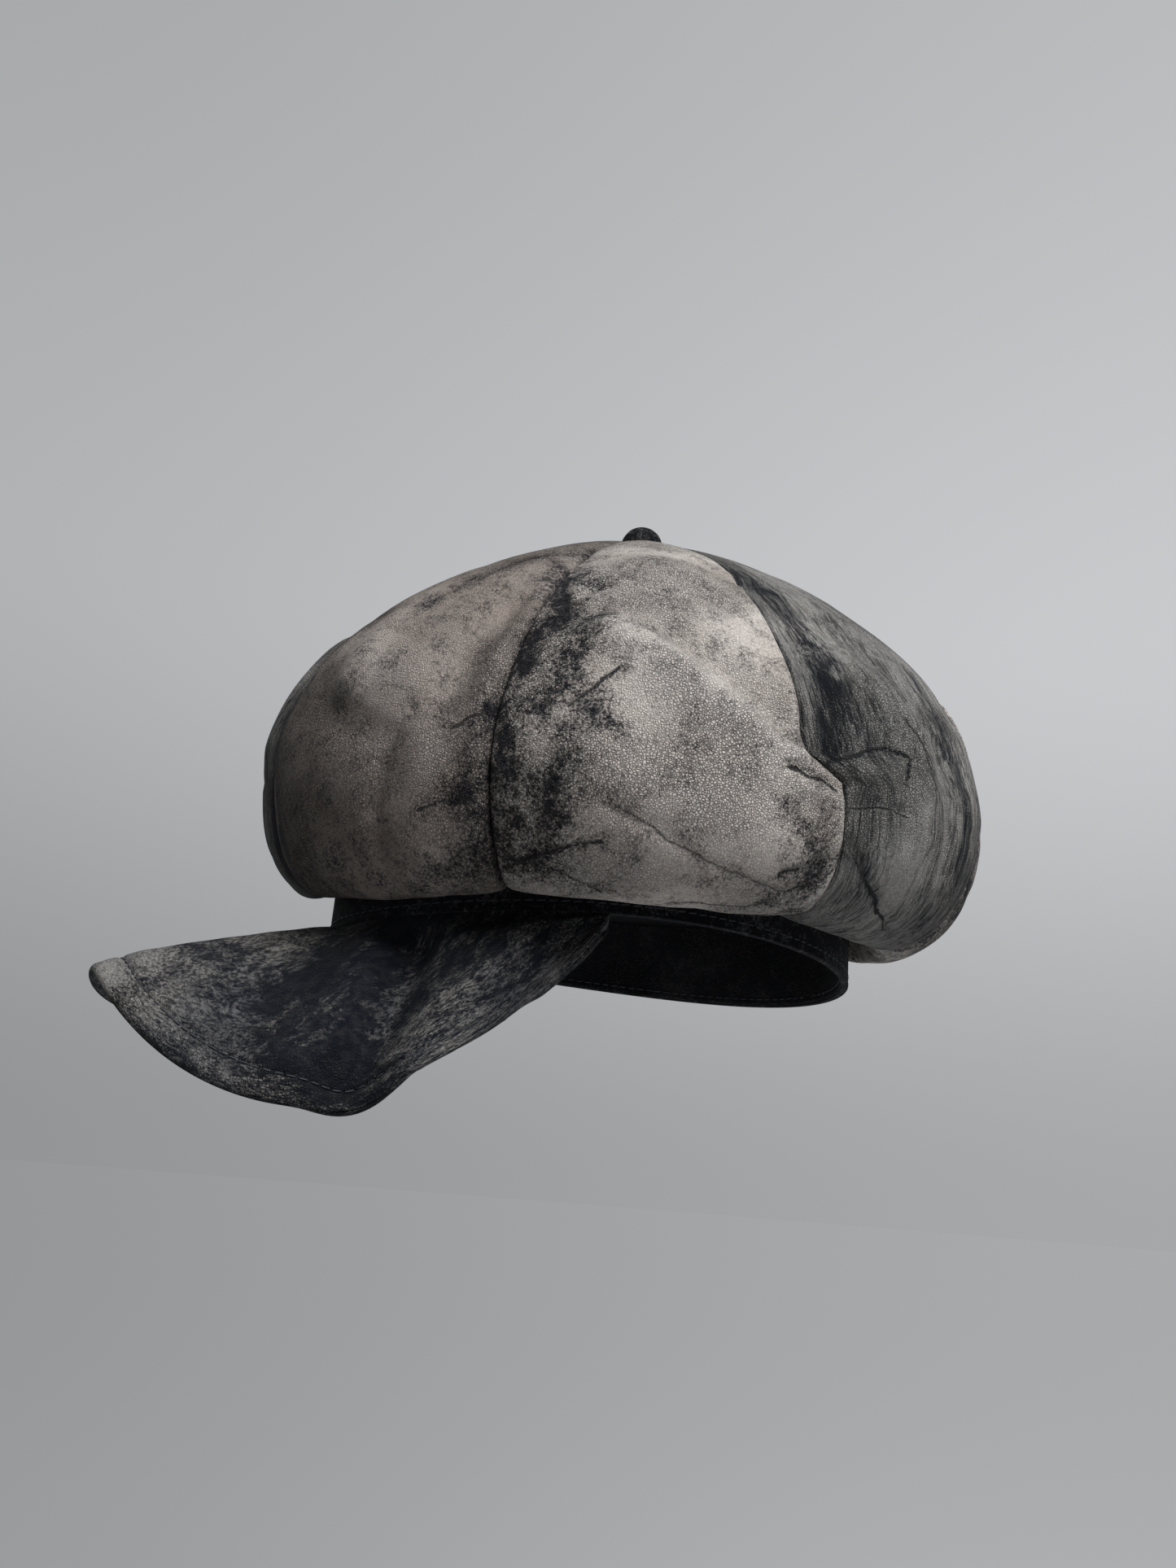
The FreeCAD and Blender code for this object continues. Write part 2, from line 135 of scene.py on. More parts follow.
VISOR_STITCH_INSET = 10 * MM
VISOR_THREAD_DEPTH = 0.45 * MM
VISOR_GROOVE = 0.9 * MM
VISOR_HEM = 0.35 * MM
VISOR_QUILT = 0.35 * MM

BUTTON_RADIUS = 8.5 * MM
BUTTON_RISE = 7.5 * MM
BUTTON_LEATHER = 0.6 * MM
BUTTON_GATHERS = 15

THREAD_RADIUS = 0.32 * MM
BAND_STITCH = 3.2 * MM
VISOR_STITCH = 3 * MM
STITCH_GAP = 0.9 * MM
STITCH_SLANT = 0.06
CRACK_REACH = 5 * MM
SHARPEST_SMOOTH = math.radians(50)


# ---- Tools for modelling ----------------------------------------------------------------

def pick_only(piece):
    bpy.ops.object.select_all(action="DESELECT")
    piece.select_set(True)
    bpy.context.view_layer.objects.active = piece


def grid_piece(name, grid):
    """Sheet whose points are a grid; its front faces along d/d(first) x d/d(second)."""
    first = grid.shape[0] - 1
    second = grid.shape[1] - 1
    bpy.ops.object.select_all(action="DESELECT")
    bpy.ops.mesh.primitive_grid_add(x_subdivisions=first, y_subdivisions=second, size=1)
    piece = bpy.context.object
    piece.name = name
    piece.data.name = name
    flat = np.empty(len(piece.data.vertices) * 3)
    piece.data.vertices.foreach_get("co", flat)
    share = flat.reshape(-1, 3)[:, :2] + 0.5
    order = tuple(np.rint(share * (first, second)).astype(int).T)
    piece.data.vertices.foreach_set("co", grid[order].ravel())
    piece.data.update()
    return piece, order


def paint(piece, order, **shares):
    """One attribute on the points of a piece for each named share."""
    for label, values in shares.items():
        attribute = piece.data.attributes.new(label, "FLOAT", "POINT")
        attribute.data.foreach_set("value", np.clip(values[order], 0, 2).astype(np.float32))


def edit_whole(piece, operator, **settings):
    """One edit-mode operator on the whole of a piece."""
    pick_only(piece)
    bpy.ops.object.mode_set(mode="EDIT")
    bpy.ops.mesh.select_all(action="SELECT")
    operator(**settings)
    bpy.ops.object.mode_set(mode="OBJECT")


def close_ring(piece):
    edit_whole(piece, bpy.ops.mesh.remove_doubles, threshold=0.01 * MM)


def finish_piece(piece, wall, material, slot, body, *nodes):
    """Thickness on the back of a sheet, its smooth faces, its finish and, except for the visor's
    pieces, what it moves with.
    """
    pick_only(piece)
    modifier = piece.modifiers.new("wall", "SOLIDIFY")
    modifier.thickness = wall
    modifier.offset = -1
    bpy.ops.object.modifier_apply(modifier=modifier.name)
    bpy.ops.object.shade_smooth_by_angle(angle=SHARPEST_SMOOTH)
    piece.data.materials.clear()
    piece.data.materials.append(material)
    if nodes:
        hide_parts(*nodes)
    if body == "visor":
        bend_with_visor(piece)
    else:
        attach(piece, body)


def bend_with_visor(piece):
    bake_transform(piece)


def unit(vectors):
    return vectors / np.linalg.norm(vectors, axis=-1, keepdims=True)


def stacked(*columns):
    return np.stack(columns, axis=-1)


def grid_normals(grid):
    return unit(np.cross(np.gradient(grid, axis=0), np.gradient(grid, axis=1)))


def ease(low, high, value):
    share = np.clip((value - low) / (high - low), 0, 1)
    return share * share * (3 - 2 * share)


def bump(distance, width):
    return np.exp(-(distance / width) ** 2)


def edge_roll(from_edge, radius):
    """How far a rolled edge lies below the sheet."""
    inset = np.clip(radius - from_edge, 0, radius)
    return radius - np.sqrt(radius ** 2 - inset ** 2)


def wander(points, scale, seed):
    """Smooth noise from -1 to 1 at each point; scale is in waves for each metre."""
    shift = Vector((seed * 7.13, seed * 3.71, seed * 5.39))
    flat = points.reshape(-1, 3) * scale
    values = [noise.noise(Vector(point) + shift) for point in flat]
    return np.array(values).reshape(points.shape[:-1])


def jitter(points, reach, scale, seed):
    """Points pushed about at random, which makes what is drawn by distance ragged."""
    moves = [wander(points, scale, seed + number) for number in range(3)]
    return points + np.stack(moves, axis=-1) * reach


def distance_to_line(points, line, normals=None):
    """Distance to a line; with the surface's normals, also the side of it that a point is on."""
    best = np.full(points.shape[:-1], 1.0)
    side = np.ones(points.shape[:-1])
    for start, end in zip(line[:-1], line[1:]):
        span = end - start
        share = np.clip(((points - start) @ span) / (span @ span), 0, 1)
        gap = points - start - share[..., None] * span
        distance = np.linalg.norm(gap, axis=-1)
        if normals is not None:
            this_side = np.sign(np.sum(np.cross(span, gap) * normals, axis=-1))
            side = np.where(distance < best, this_side, side)
        best = np.minimum(best, distance)
    return best if normals is None else (best, side)


def paint_cracks(piece, order, points, normals, lines):
    """Signed distance to the nearest crack and how near it is, both as shares of its reach."""
    nearest = np.full(points.shape[:-1], 1.0)
    signed = np.full(points.shape[:-1], 1.0)
    breadth = np.full(points.shape[:-1], 0.5)
    for line, width in lines:
        distance, side = distance_to_line(points, line, normals)
        closer = distance < nearest
        signed = np.where(closer, distance * side, signed)
        breadth = np.where(closer, width / 2, breadth)
        nearest = np.minimum(nearest, distance)
    paint(piece, order, crack_side=0.5 + 0.5 * signed / CRACK_REACH,
          crack_near=1 - nearest / CRACK_REACH, crack_breadth=breadth)


def strokes(points, placed, line_of):
    """Sum of soft strokes, each a route, a half width in millimetres and an amount."""
    total = np.zeros(points.shape[:-1])
    for route, width, amount in placed:
        total = total + amount * bump(distance_to_line(points, line_of(route)), width * MM)
    return total


def fine_route(route, steps=6):
    """A route of pairs in small steps, as two arrays."""
    knots = np.arange(len(route))
    fine = np.linspace(0, len(route) - 1, (len(route) - 1) * steps + 1)
    return [np.interp(fine, knots, values) for values in zip(*route)]


def even_stations(line, count):
    """Shares of a densely sampled line that are evenly spaced along it."""
    steps = np.linalg.norm(np.diff(line, axis=0), axis=1)
    run = np.concatenate([[0], np.cumsum(steps)])
    return np.interp(np.linspace(0, run[-1], count), run, np.linspace(0, 1, len(line)))


# ---- Shape of the crown -----------------------------------------------------------------

LEAN_HINGE = Vector((-math.sin(CROWN_LEAN_WAY), math.cos(CROWN_LEAN_WAY), 0))
CROWN_TURN = np.array(Matrix.Rotation(CROWN_LEAN, 3, LEAN_HINGE))
CROWN_UP = CROWN_TURN @ np.array([0, 0, 1])

# How far a seam strays from its straight meridian: (along, degrees), for each seam.
SEAM_STRAY = {
    "front_left": [(0, 0), (0.06, 12), (0.16, 14), (0.30, 9), (0.45, -1), (0.6, -8), (1.1, -7),
                   (1.7, -5), (2.4, -2), (3, 0)],
    "left_front": [(0, 0), (0.4, 0.5), (0.9, -0.5), (1.5, 0.5), (3, 0)],
    "left_back": [(0, 0), (0.24, 4), (0.46, -2.5), (0.62, -3), (0.89, -2.5), (0.95, 3),
                  (1.3, 4), (1.75, 4), (2.4, 1), (3, 0)],
    "back_left": [(0, 0), (0.4, -1), (0.8, 1.5), (1.3, -1), (3, 0)],
    "back_right": [(0, 0), (0.4, 1), (0.7, 0), (1.0, -1), (1.3, 0), (1.6, 1), (3, 0)],
    "right_back": [(0, 0), (0.6, -1), (1.1, 1), (3, 0)],
    "right_front": [(0, 0), (0.5, 1.5), (0.9, -1), (1.5, 1), (3, 0)],
    "front_right": [(0, 0), (0.5, -1), (1, 1.5), (3, 0)],
}


def outward(angle):
    flat = stacked(np.cos(angle), np.sin(angle), np.zeros_like(angle))
    return flat @ CROWN_TURN.T


def band_radius(angle, half_width, half_length):
    return 1 / np.hypot(np.cos(angle) / half_width, np.sin(angle) / half_length)


def sewn_points(fold):
    angle = np.arctan2(fold[..., 1], fold[..., 0])
    radius = band_radius(angle, BAND_HALF_WIDTH, BAND_HALF_LENGTH) + SEWN_GAP
    height = np.full_like(angle, BAND_TOP - BAND_WALL)
    return stacked(radius * np.cos(angle), radius * np.sin(angle), height)


def meridian(angle, along):
    """Seam line of the crown: dome to the widest level, curl to the fold, tuck to the band."""
    out = outward(angle)
    share = np.sin(np.minimum(along, 1) * math.pi / 2)
    height = np.sqrt(np.maximum(0, 1 - share ** DOME_POWER))
    dome = CROWN_MIDDLE + out * (CROWN_RADIUS * share)[..., None]
    dome = dome + CROWN_UP * (CROWN_RISE * height)[..., None]

    lift = FOLD_LIFT * np.maximum(0, np.cos(angle - FOLD_LIFT_WAY)) ** 2
    depth = (FOLD_DROP - lift + FOLD_DROP_BACK * np.sin(angle))[..., None]
    run = (FOLD_RUN + FOLD_RUN_BACK * np.sin(angle))[..., None]
    fold = CROWN_MIDDLE + out * (CROWN_RADIUS - run) - CROWN_UP * depth
    turn = ((np.clip(along, 1, 2) - 1) * math.pi / 2)[..., None]
    curl = fold + out * run * np.cos(turn) + CROWN_UP * depth * (1 - np.sin(turn))

    sewn = sewn_points(fold)
    leave = (sewn - fold) * np.array([TUCK_ROUNDNESS, TUCK_ROUNDNESS, 0])
    arrive = np.zeros_like(fold)
    arrive[..., 2] = np.maximum(sewn[..., 2] - fold[..., 2], CROWN_WALL)
    rise = np.clip(along - 2, 0, 1)[..., None]
    start_weight = 2 * rise ** 3 - 3 * rise ** 2 + 1
    leave_weight = rise ** 3 - 2 * rise ** 2 + rise
    arrive_weight = rise ** 3 - rise ** 2
    tuck = fold * start_weight + leave * leave_weight
    tuck = tuck + sewn * (1 - start_weight) + arrive * arrive_weight

    upper = np.where((along <= 1)[..., None], dome, curl)
    return np.where((along <= 2)[..., None], upper, tuck)


def seam_angle(number, along):
    place = PANEL_PLACES[number % len(PANEL_PLACES)]
    stations, strays = zip(*SEAM_STRAY[place])
    stray = np.radians(np.interp(along, stations, strays))
    return FRONT_ANGLE + number * PANEL_TURN + stray


def panel_angle(number, along, across):
    start = seam_angle(number, along)
    return start + (seam_angle(number + 1, along) - start) * across


def plain_way(angle, along):
    """Outward direction, the same for the two panels that meet in a seam."""
    low = np.minimum(along, 2) * math.pi / 2
    return outward(angle) * np.sin(low)[..., None] + CROWN_UP * np.cos(low)[..., None]


def panel_points(number, along, across):
    """Outside of a panel before it is creased."""
    angle = panel_angle(number, along, across)
    weight = ease(0.08, 0.7, along) * (1 - ease(1.2, 2.6, along))
    arch = np.sin(math.pi * np.clip(across, 0, 1)) ** PUFF_POWER
    puffed = plain_way(angle, along) * (PANEL_PUFF * weight * arch)[..., None]
    return meridian(angle, along) + puffed


def panel_normals(number, points, along, across, from_seam):
    """Normals of a panel, turned at its seams so that both edges of a seam move as one."""
    near = (bump(from_seam, 5 * MM) * (1 - ease(1.9, 2.3, along)))[..., None]
    shared = plain_way(panel_angle(number, along, across), along)
    return unit(grid_normals(points) * (1 - near) + shared * near)


def panel_route(number, route):
    """Line on a panel through places given as (degrees, along)."""
    degrees, along = fine_route(route)
    start = seam_angle(number, along)
    across = (np.radians(degrees) - start) / (seam_angle(number + 1, along) - start)
    return panel_points(number, along, np.clip(across, 0, 1))


# Creases, hollows (negative) and ridges: route, half width and height in millimetres.
RELIEF = {
    "front_left": [
        ([(-50, 0.56), (-52, 0.7), (-53, 0.84)], 8, -4.5),
        ([(-46, 0.5), (-46, 0.63), (-47, 0.8), (-47, 0.95)], 4.5, 2.6),
        ([(-57, 0.87), (-60, 0.95), (-61, 1.15), (-61, 1.35), (-62, 1.65)], 3.5, -1.5),
        ([(-54, 0.9), (-55, 1.2), (-55, 1.6)], 8, 1.5),
        ([(-70, 0.58), (-70, 0.8)], 10, 2.2),
        ([(-80, 0.72), (-70, 0.76), (-58, 0.78)], 16, 2.5),
        ([(-72, 0.88), (-66, 0.92), (-60, 0.93)], 5, -1),
        ([(-88, 0.9), (-78, 1), (-66, 1.02)], 12, 1.5),
    ],
    "left_front": [
        ([(-31, 0.68), (-23, 0.74), (-16, 0.8), (-10, 0.86), (-5, 0.91)], 8, 4.8),
        ([(-20, 0.66), (-14, 0.74), (-9, 0.8), (-4, 0.85)], 8, -6),
        ([(-26, 0.41), (-15, 0.46)], 15, 1.5),
        ([(-30, 0.95), (-18, 1.05), (-8, 1.15)], 18, 2),
        ([(-7, 0.945), (-3, 0.96), (2, 0.97)], 1.8, -1.5),
        ([(-6, 0.98), (-1, 0.99)], 4, 2),
        ([(-5, 1.4), (0, 1.33), (3, 1.26)], 1.7, -1),
        ([(-5, 1.64), (0, 1.47), (3, 1.33)], 1.9, -1.2),
        ([(-8, 0.86), (-6, 0.87)], 2.6, -1.2),
        ([(-29, 1.13), (-22, 1.25), (-16, 1.35), (-8, 1.49), (-4, 1.57)], 1.5, -0.5),
        ([(-2, 0.45), (-4.5, 0.62), (-4, 0.8), (-4, 0.88)], 3.6, 2.4),
        ([(2.5, 1), (2.5, 1.25), (2.5, 1.7)], 4, 2.6),
        ([(-34, 0.84), (-31, 0.8), (-29, 0.77)], 1.4, -0.8),
        ([(-43, 0.5), (-41, 0.56), (-34, 0.52)], 4, -2),
        ([(-42, 1.5), (-37, 1.39)], 1.4, -0.8),
        ([(-41, 1.5), (-36, 1.56), (-30, 1.69)], 1.6, -0.8),
    ],
    "left_back": [
        ([(1, 0.4), (-1, 0.62), (1, 0.8), (0, 0.88)], 5, -3),
        ([(6, 1), (6, 1.25), (6, 1.6)], 4, -2),
        ([(1, 0.9), (4, 0.885), (9, 0.87), (13, 0.885), (12.5, 0.96)], 1.6, -1.2),
        ([(5, 0.93), (10, 0.92)], 5, 1.6),
        ([(5, 1), (9, 0.99), (13, 1)], 1.6, -0.8),
        ([(5, 1.22), (8, 1.38), (14, 1.55), (21, 1.68)], 2, -1.6),
        ([(14, 0.7), (17, 0.9), (17, 1.15)], 7, 1.6),
        ([(20, 0.8), (23, 1), (24, 1.25)], 5, -1.4),
        ([(8, 0.55), (15, 0.66), (22, 0.72)], 9, -2),
    ],
    "back_left": [
        ([(50, 0.55), (60, 0.7), (72, 0.8)], 9, -3.5),
        ([(52, 0.68), (62, 0.82), (74, 0.92)], 9, 3),
        ([(88, 0.95), (82, 1), (78, 1.1)], 1.8, -1.3),
    ],
    "back_right": [
        ([(96, 0.6), (104, 0.8), (106, 1.05)], 8, -3),
        ([(108, 0.55), (116, 0.72), (120, 0.95)], 9, 2.4),
        ([(94, 1.3), (100, 1.2), (106, 1.16)], 1.8, -1.2),
    ],
    "right_back": [
        ([(140, 0.62), (150, 0.72), (164, 0.78)], 9, -3.6),
        ([(142, 0.78), (152, 0.86), (168, 0.9)], 9, 2.6),
        ([(172, 1), (168, 1.2), (162, 1.45)], 2, -1.2),
    ],
    "right_front": [
        ([(184, 0.6), (196, 0.74), (208, 0.82)], 9, -3),
        ([(186, 0.8), (196, 0.92), (206, 1)], 8, 2.4),
        ([(220, 0.94), (214, 0.97), (210, 1.06)], 1.8, -1.2),
    ],
    "front_right": [
        ([(232, 0.58), (240, 0.74), (246, 0.95)], 8, -3),
        ([(240, 0.5), (250, 0.66), (256, 0.9)], 9, 2.2),
        ([(228, 1.4), (234, 1.28), (242, 1.22)], 1.9, -1.2),
    ],
}

# Cracks where the dye has run: route and half width in millimetres.
CRACKS = {
    "front_left": [
        ([(-47, 0.87), (-51, 0.9)], 1),
        ([(-48, 1.14), (-54, 1.18)], 1),
        ([(-62, 0.5), (-57, 0.38), (-55, 0.33)], 0.9),
    ],
    "left_front": [
        ([(-35, 0.85), (-31, 0.8), (-28.5, 0.76)], 1.2),
        ([(-43, 1.6), (-39, 1.47), (-34, 1.36), (-30, 1.31)], 1.2),
        ([(-42, 1.5), (-36, 1.56), (-29, 1.72)], 1.2),
        ([(-29, 1.13), (-22, 1.25), (-16, 1.35), (-8, 1.49), (-3, 1.57)], 0.8),
        ([(-43, 0.63), (-37, 0.63), (-31, 0.65)], 1.1),
        ([(-44, 0.45), (-41, 0.56), (-40, 0.6)], 1.8),
        ([(-7, 0.945), (-3, 0.957), (1, 0.97)], 1.2),
        ([(-6, 1.42), (-1, 1.35), (3, 1.24)], 1.2),
        ([(-6, 1.66), (0, 1.47), (3, 1.3)], 1.2),
        ([(-9, 0.86), (-5, 0.88)], 1),
        ([(-20, 1.76), (-10, 1.72), (-3, 1.66)], 0.9),
    ],
    "left_back": [
        ([(0, 0.9), (4, 0.885), (9, 0.87), (13, 0.885), (12.5, 0.96)], 1.1),
        ([(4, 1), (9, 0.99), (13, 1.01)], 0.9),
        ([(4, 1.2), (8, 1.38), (14, 1.55), (21, 1.7)], 1.3),
        ([(14, 0.8), (18, 0.92), (19, 1.1)], 0.9),
    ],
}

# Patches of dye (negative: bare patches), and on the front-left panel a broad patch of painted
# shade: route, half width in millimetres and strength.
DYE_AND_PAINTED_SHADE = {
    "front_left": [
        ([(-89, 0.8), (-89, 0.95), (-88, 1.25), (-87, 1.6)], 6, 0.95),
        ([(-46, 0.86), (-47, 1), (-49, 1.11)], 6, 0.75),
        ([(-46, 1.25), (-47, 1.46), (-49, 1.5)], 7, 0.75),
        ([(-84, 0.45), (-81, 0.58), (-84, 0.72)], 9, 0.3),
        ([(-77, 0.08), (-75, 0.2), (-80, 0.32), (-88, 0.44)], 5, 0.8),
        ([(-66, 0.6), (-62, 0.47), (-57, 0.35)], 4.5, 0.48),
        ([(-46, 0.48), (-48, 0.38), (-46, 0.28)], 5, 0.6),
        # Broad, faint dark patch low on the panel: painted shade.
        ([(-84, 1.3), (-72, 1.55), (-60, 1.66), (-50, 1.72)], 17, 0.26),
    ],
    "left_front": [
        ([(-44, 0.66), (-44, 0.8), (-44, 0.93), (-43.5, 1.02)], 6, 0.8),
        ([(-43, 1.05), (-42, 1.2), (-43, 1.36)], 7, 0.62),
        ([(-45, 0.82), (-45, 1.05), (-44.8, 1.32)], 3.2, 0.6),
        ([(-44, 0.36), (-41, 0.43), (-35, 0.5)], 6, 0.8),
        ([(-43, 0.5), (-41, 0.6), (-42, 0.72)], 6, 0.8),
        ([(-40, 0.6), (-36, 0.7), (-37, 0.81), (-41, 0.85)], 6, 0.75),
        ([(-41, 0.7), (-38, 0.86), (-38, 1)], 13, 0.22),
        ([(-35, 0.74), (-34, 0.84), (-35, 0.97), (-36, 1.12)], 5, 0.7),
        ([(-31, 0.84), (-30, 0.88)], 5, 0.8),
        ([(-36, 1), (-35, 1.25)], 8, 0.5),
        ([(-41, 1.4), (-38, 1.5)], 8, 0.45),
        ([(-2, 0.7), (-5, 0.82), (-3, 0.92)], 6, 0.45),
        ([(-2, 1.15), (-2, 1.5), (0, 1.75)], 8, 0.5),
        ([(-8, 1.05), (-7, 1.12)], 5, 0.35),
        ([(-36, 0.6), (-30, 0.66), (-24, 0.66)], 9, 0.2),
    ],
    "front_right": [
        ([(276, 0.1), (278, 0.2), (274, 0.34), (264, 0.48)], 10, 0.7),
        ([(258, 0.8), (260, 0.95), (261, 1.15), (262, 1.4)], 9, 0.8),
    ],
    "back_left": [
        ([(46, 0.8), (48, 1.15), (48, 1.6)], 14, 0.6),
    ],
    "left_back": [
        ([(5, 0.26), (3, 0.5), (3, 0.7), (1, 0.86)], 6, 0.75),
        ([(9, 0.76), (10, 0.82)], 8, 0.45),
        ([(40, 0.8), (40, 1.1), (38, 1.5)], 13, 0.75),
        ([(22, 0.62), (28, 0.78)], 6, 0.4),
        ([(14, 0.78), (15, 0.96), (15, 1.4)], 11, -0.42),
        ([(4, 0.705), (4, 0.715)], 2.2, -0.8),
        ([(24, 0.78), (27, 0.95), (31, 1.2)], 6.5, 0.6),
        ([(20, 1.4), (26, 1.58)], 6, 0.3),
        ([(6, 1.3), (12, 1.5)], 8, 0.2),
    ],
}
# Overall share of dye on each panel.
DYE_LEVEL = {"front_left": 0.02, "left_front": 0, "left_back": 0.28, "back_left": 0.3,
             "back_right": 0.12, "right_back": 0.4, "right_front": 0.1, "front_right": 0.34}
CRACKED_SEED = 11
MOST_DYE = 1.05
FOLD_DARKENING = 0.10
SEAM_DYE = 1.1
SEAM_DYE_REACH = 0.8 * MM
CRACK_DYE = 0.26


def chance_routes(number, count, spread):
    """Seeded wandering routes on a panel, for the veins that no list places."""
    chance = np.random.default_rng(CRACKED_SEED + number)
    first = math.degrees(FRONT_ANGLE + number * PANEL_TURN)
    routes = []
    for _ in range(count):
        degrees = first + chance.choice([3, 42, 20]) + chance.uniform(-2, 2)
        along = chance.uniform(0.35, 1.6)
        route = [(degrees, along)]
        for _ in range(4):
            degrees = degrees + chance.uniform(-spread, spread)
            along = along + chance.uniform(0.02, 0.09)
            route.append((degrees, along))
        routes.append(route)
    return routes


def crown_grid(number, rows, columns, crowding, edge):
    """Stations of a panel: along evenly spaced in length, across closer near the seams."""
    tip = math.asin(PANEL_TIP_RADIUS / CROWN_RADIUS) * 2 / math.pi
    sampled = np.linspace(tip, 3, 600)
    middle = np.full_like(sampled, FRONT_ANGLE + (number + 0.5) * PANEL_TURN)
    along = tip + (3 - tip) * even_stations(meridian(middle, sampled), rows)
    share = np.linspace(0, 1, columns)
    share = share - crowding * np.sin(2 * math.pi * share) / (2 * math.pi)
    along = np.repeat(along[:, None], columns, axis=1)
    left = meridian(seam_angle(number, along), along)
    right = meridian(seam_angle(number + 1, along), along)
    width = np.linalg.norm(right - left, axis=-1)
    margin = edge / width
    across = margin + (1 - 2 * margin) * share[None, :]
    from_seam = np.minimum(across, 1 - across) * width
    return along, across, from_seam


def placed_relief(number, points):
    number = number % len(PANEL_PLACES)
    placed = RELIEF[PANEL_PLACES[number]]
    return strokes(points, placed, lambda route: panel_route(number, route)) * MM


def crown_relief(number, points, along, across, from_seam):
    """Height of a panel's creases, hollows and ridges; next panels meet at the same height."""
    ragged = jitter(points, 2.5 * MM, 28, 0)
    own = placed_relief(number, ragged)
    beside = np.where(across < 0.5, placed_relief(number - 1, ragged),
                      placed_relief(number + 1, ragged))
    height = own + (beside - own) * 0.5 * bump(from_seam, 7 * MM)
    inside = np.sin(math.pi * np.clip(across, 0, 1)) ** 0.5
    inside = inside * ease(0.12, 0.5, along) * (1 - ease(2.2, 2.8, along))
    height = height + 0.8 * MM * wander(points, 17, number + 20) * inside
    height = height + 0.45 * MM * wander(points, 48, number + 30) * inside
    creased = 1 - np.abs(wander(points, 26, number + 40)) * 6
    height = height - 0.55 * MM * np.clip(creased, 0, 1) * inside
    drawn = ease(1.1, 1.9, along) * (1 - ease(2.5, 2.95, along))
    gathers = wander(points * np.array([1, 1, 0.25]), 75, 50)
    return height + 0.5 * MM * gathers * drawn


def crown_sheet(number, rows, columns, crowding, edge=SEAM_GAP / 2):
    """What a panel and the lining behind it share: stations, points, normals and relief."""
    along, across, from_seam = crown_grid(number, rows, columns, crowding, edge)
    points = panel_points(number, along, across)
    normals = panel_normals(number, points, along, across, from_seam)
    relief = crown_relief(number, points, along, across, from_seam)
    return along, from_seam, points, normals, relief


def crown_panel(number):
    place = PANEL_PLACES[number]
    along, from_seam, points, normals, relief = crown_sheet(number, *PANEL_GRID)
    pulled = SEAM_PULL * np.exp(-from_seam / (5 * MM)) * (1 - ease(2.3, 2.9, along))
    pucker = SEAM_PUCKER * wander(points, 110, number + 60) * np.exp(-from_seam / (4 * MM))
    height = relief - edge_roll(from_seam, SEAM_ROUND) - pulled + pucker
    piece, order = grid_piece("crown_panel_" + place + "_leather",
                              points + normals * height[..., None])

    ragged = jitter(points, 2.2 * MM, 130, number + 70)
    ragged = jitter(ragged, 0.9 * MM, 420, number + 80)
    dye = DYE_LEVEL[place] + 0.09 * wander(points, 14, number + 90)
    # The crown grows darker towards the fold.
    dye = dye + FOLD_DARKENING * ease(1.5, 2.2, along)
    dye = dye + SEAM_DYE * np.exp(-from_seam / SEAM_DYE_REACH) * ease(0.1, 0.4, along)
    placed = DYE_AND_PAINTED_SHADE.get(place, [])
    routes = CRACKS.get(place, [])
    if place not in CRACKS:
        routes = [(route, 1.0) for route in chance_routes(number, 8, 4)]
        placed = placed + [(route, 6, 0.55) for route in chance_routes(number + 8, 6, 3)]
    placed = placed + [(route, 3.2, CRACK_DYE * width) for route, width in routes]
    dye = dye + strokes(ragged, placed, lambda route: panel_route(number, route))
    dye = MOST_DYE * np.tanh(np.maximum(dye, 0) / MOST_DYE)
    worn = ease(0.2 * MM, 3.2 * MM, relief) * (1 - ease(1.3, 1.9, along))
    paint(piece, order, dye=dye, worn=worn)
    strayed = jitter(jitter(points, 2.6 * MM, 45, number + 110), 1.1 * MM, 150, number + 100)
    lines = [(panel_route(number, route), width) for route, width in routes]
    paint_cracks(piece, order, strayed, normals, lines)
    finish_piece(piece, CROWN_WALL, CROWN_LEATHER[place], "crown_leather", "cap",
                 "crown_panel_" + place)


def lining_gore(number):
    place = PANEL_PLACES[number]
    stations = (*LINING_GRID, -LINING_OVERLAP)
    _, from_seam, points, normals, relief = crown_sheet(number, *stations)
    over_seam = LINING_SEAM * np.exp(-from_seam / (3 * MM))
    shaped = points + normals * (relief - LINING_DEPTH - over_seam)[..., None]
    piece, _ = grid_piece("lining_gore_" + place + "_cloth", shaped)
    finish_piece(piece, LINING_WALL, LINING_CLOTH, "lining_cloth", "cap", "lining_gore_" + place)


# ---- Band -------------------------------------------------------------------------------

# Section of the lining's hem in millimetres: inset from the headband's outside, and height
# above its top.
LINING_HEM = [(-3.9, -1.6), (-2.2, 0.0), (0.2, 0.7), (1.5, 0.4), (2.4, -0.8), (2.75, -3.0),
              (2.75, -8.0)]


def band_edge_height(y):
    radius = (BAND_HALF_LENGTH ** 2 + BAND_DIP ** 2) / (2 * BAND_DIP)
    return np.sqrt(radius ** 2 - y ** 2) - radius


def oval_ring(half_width, half_length, count=420):
    """Evenly spaced points round an oval, closed, from the nape."""
    turn = np.linspace(0, 2 * math.pi, 1441) + math.pi / 2
    line = stacked(half_width * np.cos(turn), half_length * np.sin(turn))
    share = even_stations(line, count)
    turn = share * 2 * math.pi + math.pi / 2
    x = half_width * np.cos(turn)
    y = half_length * np.sin(turn)
    flat = unit(stacked(x / half_width ** 2, y / half_length ** 2, np.zeros_like(x)))
    return stacked(x, y, np.zeros_like(x)), flat


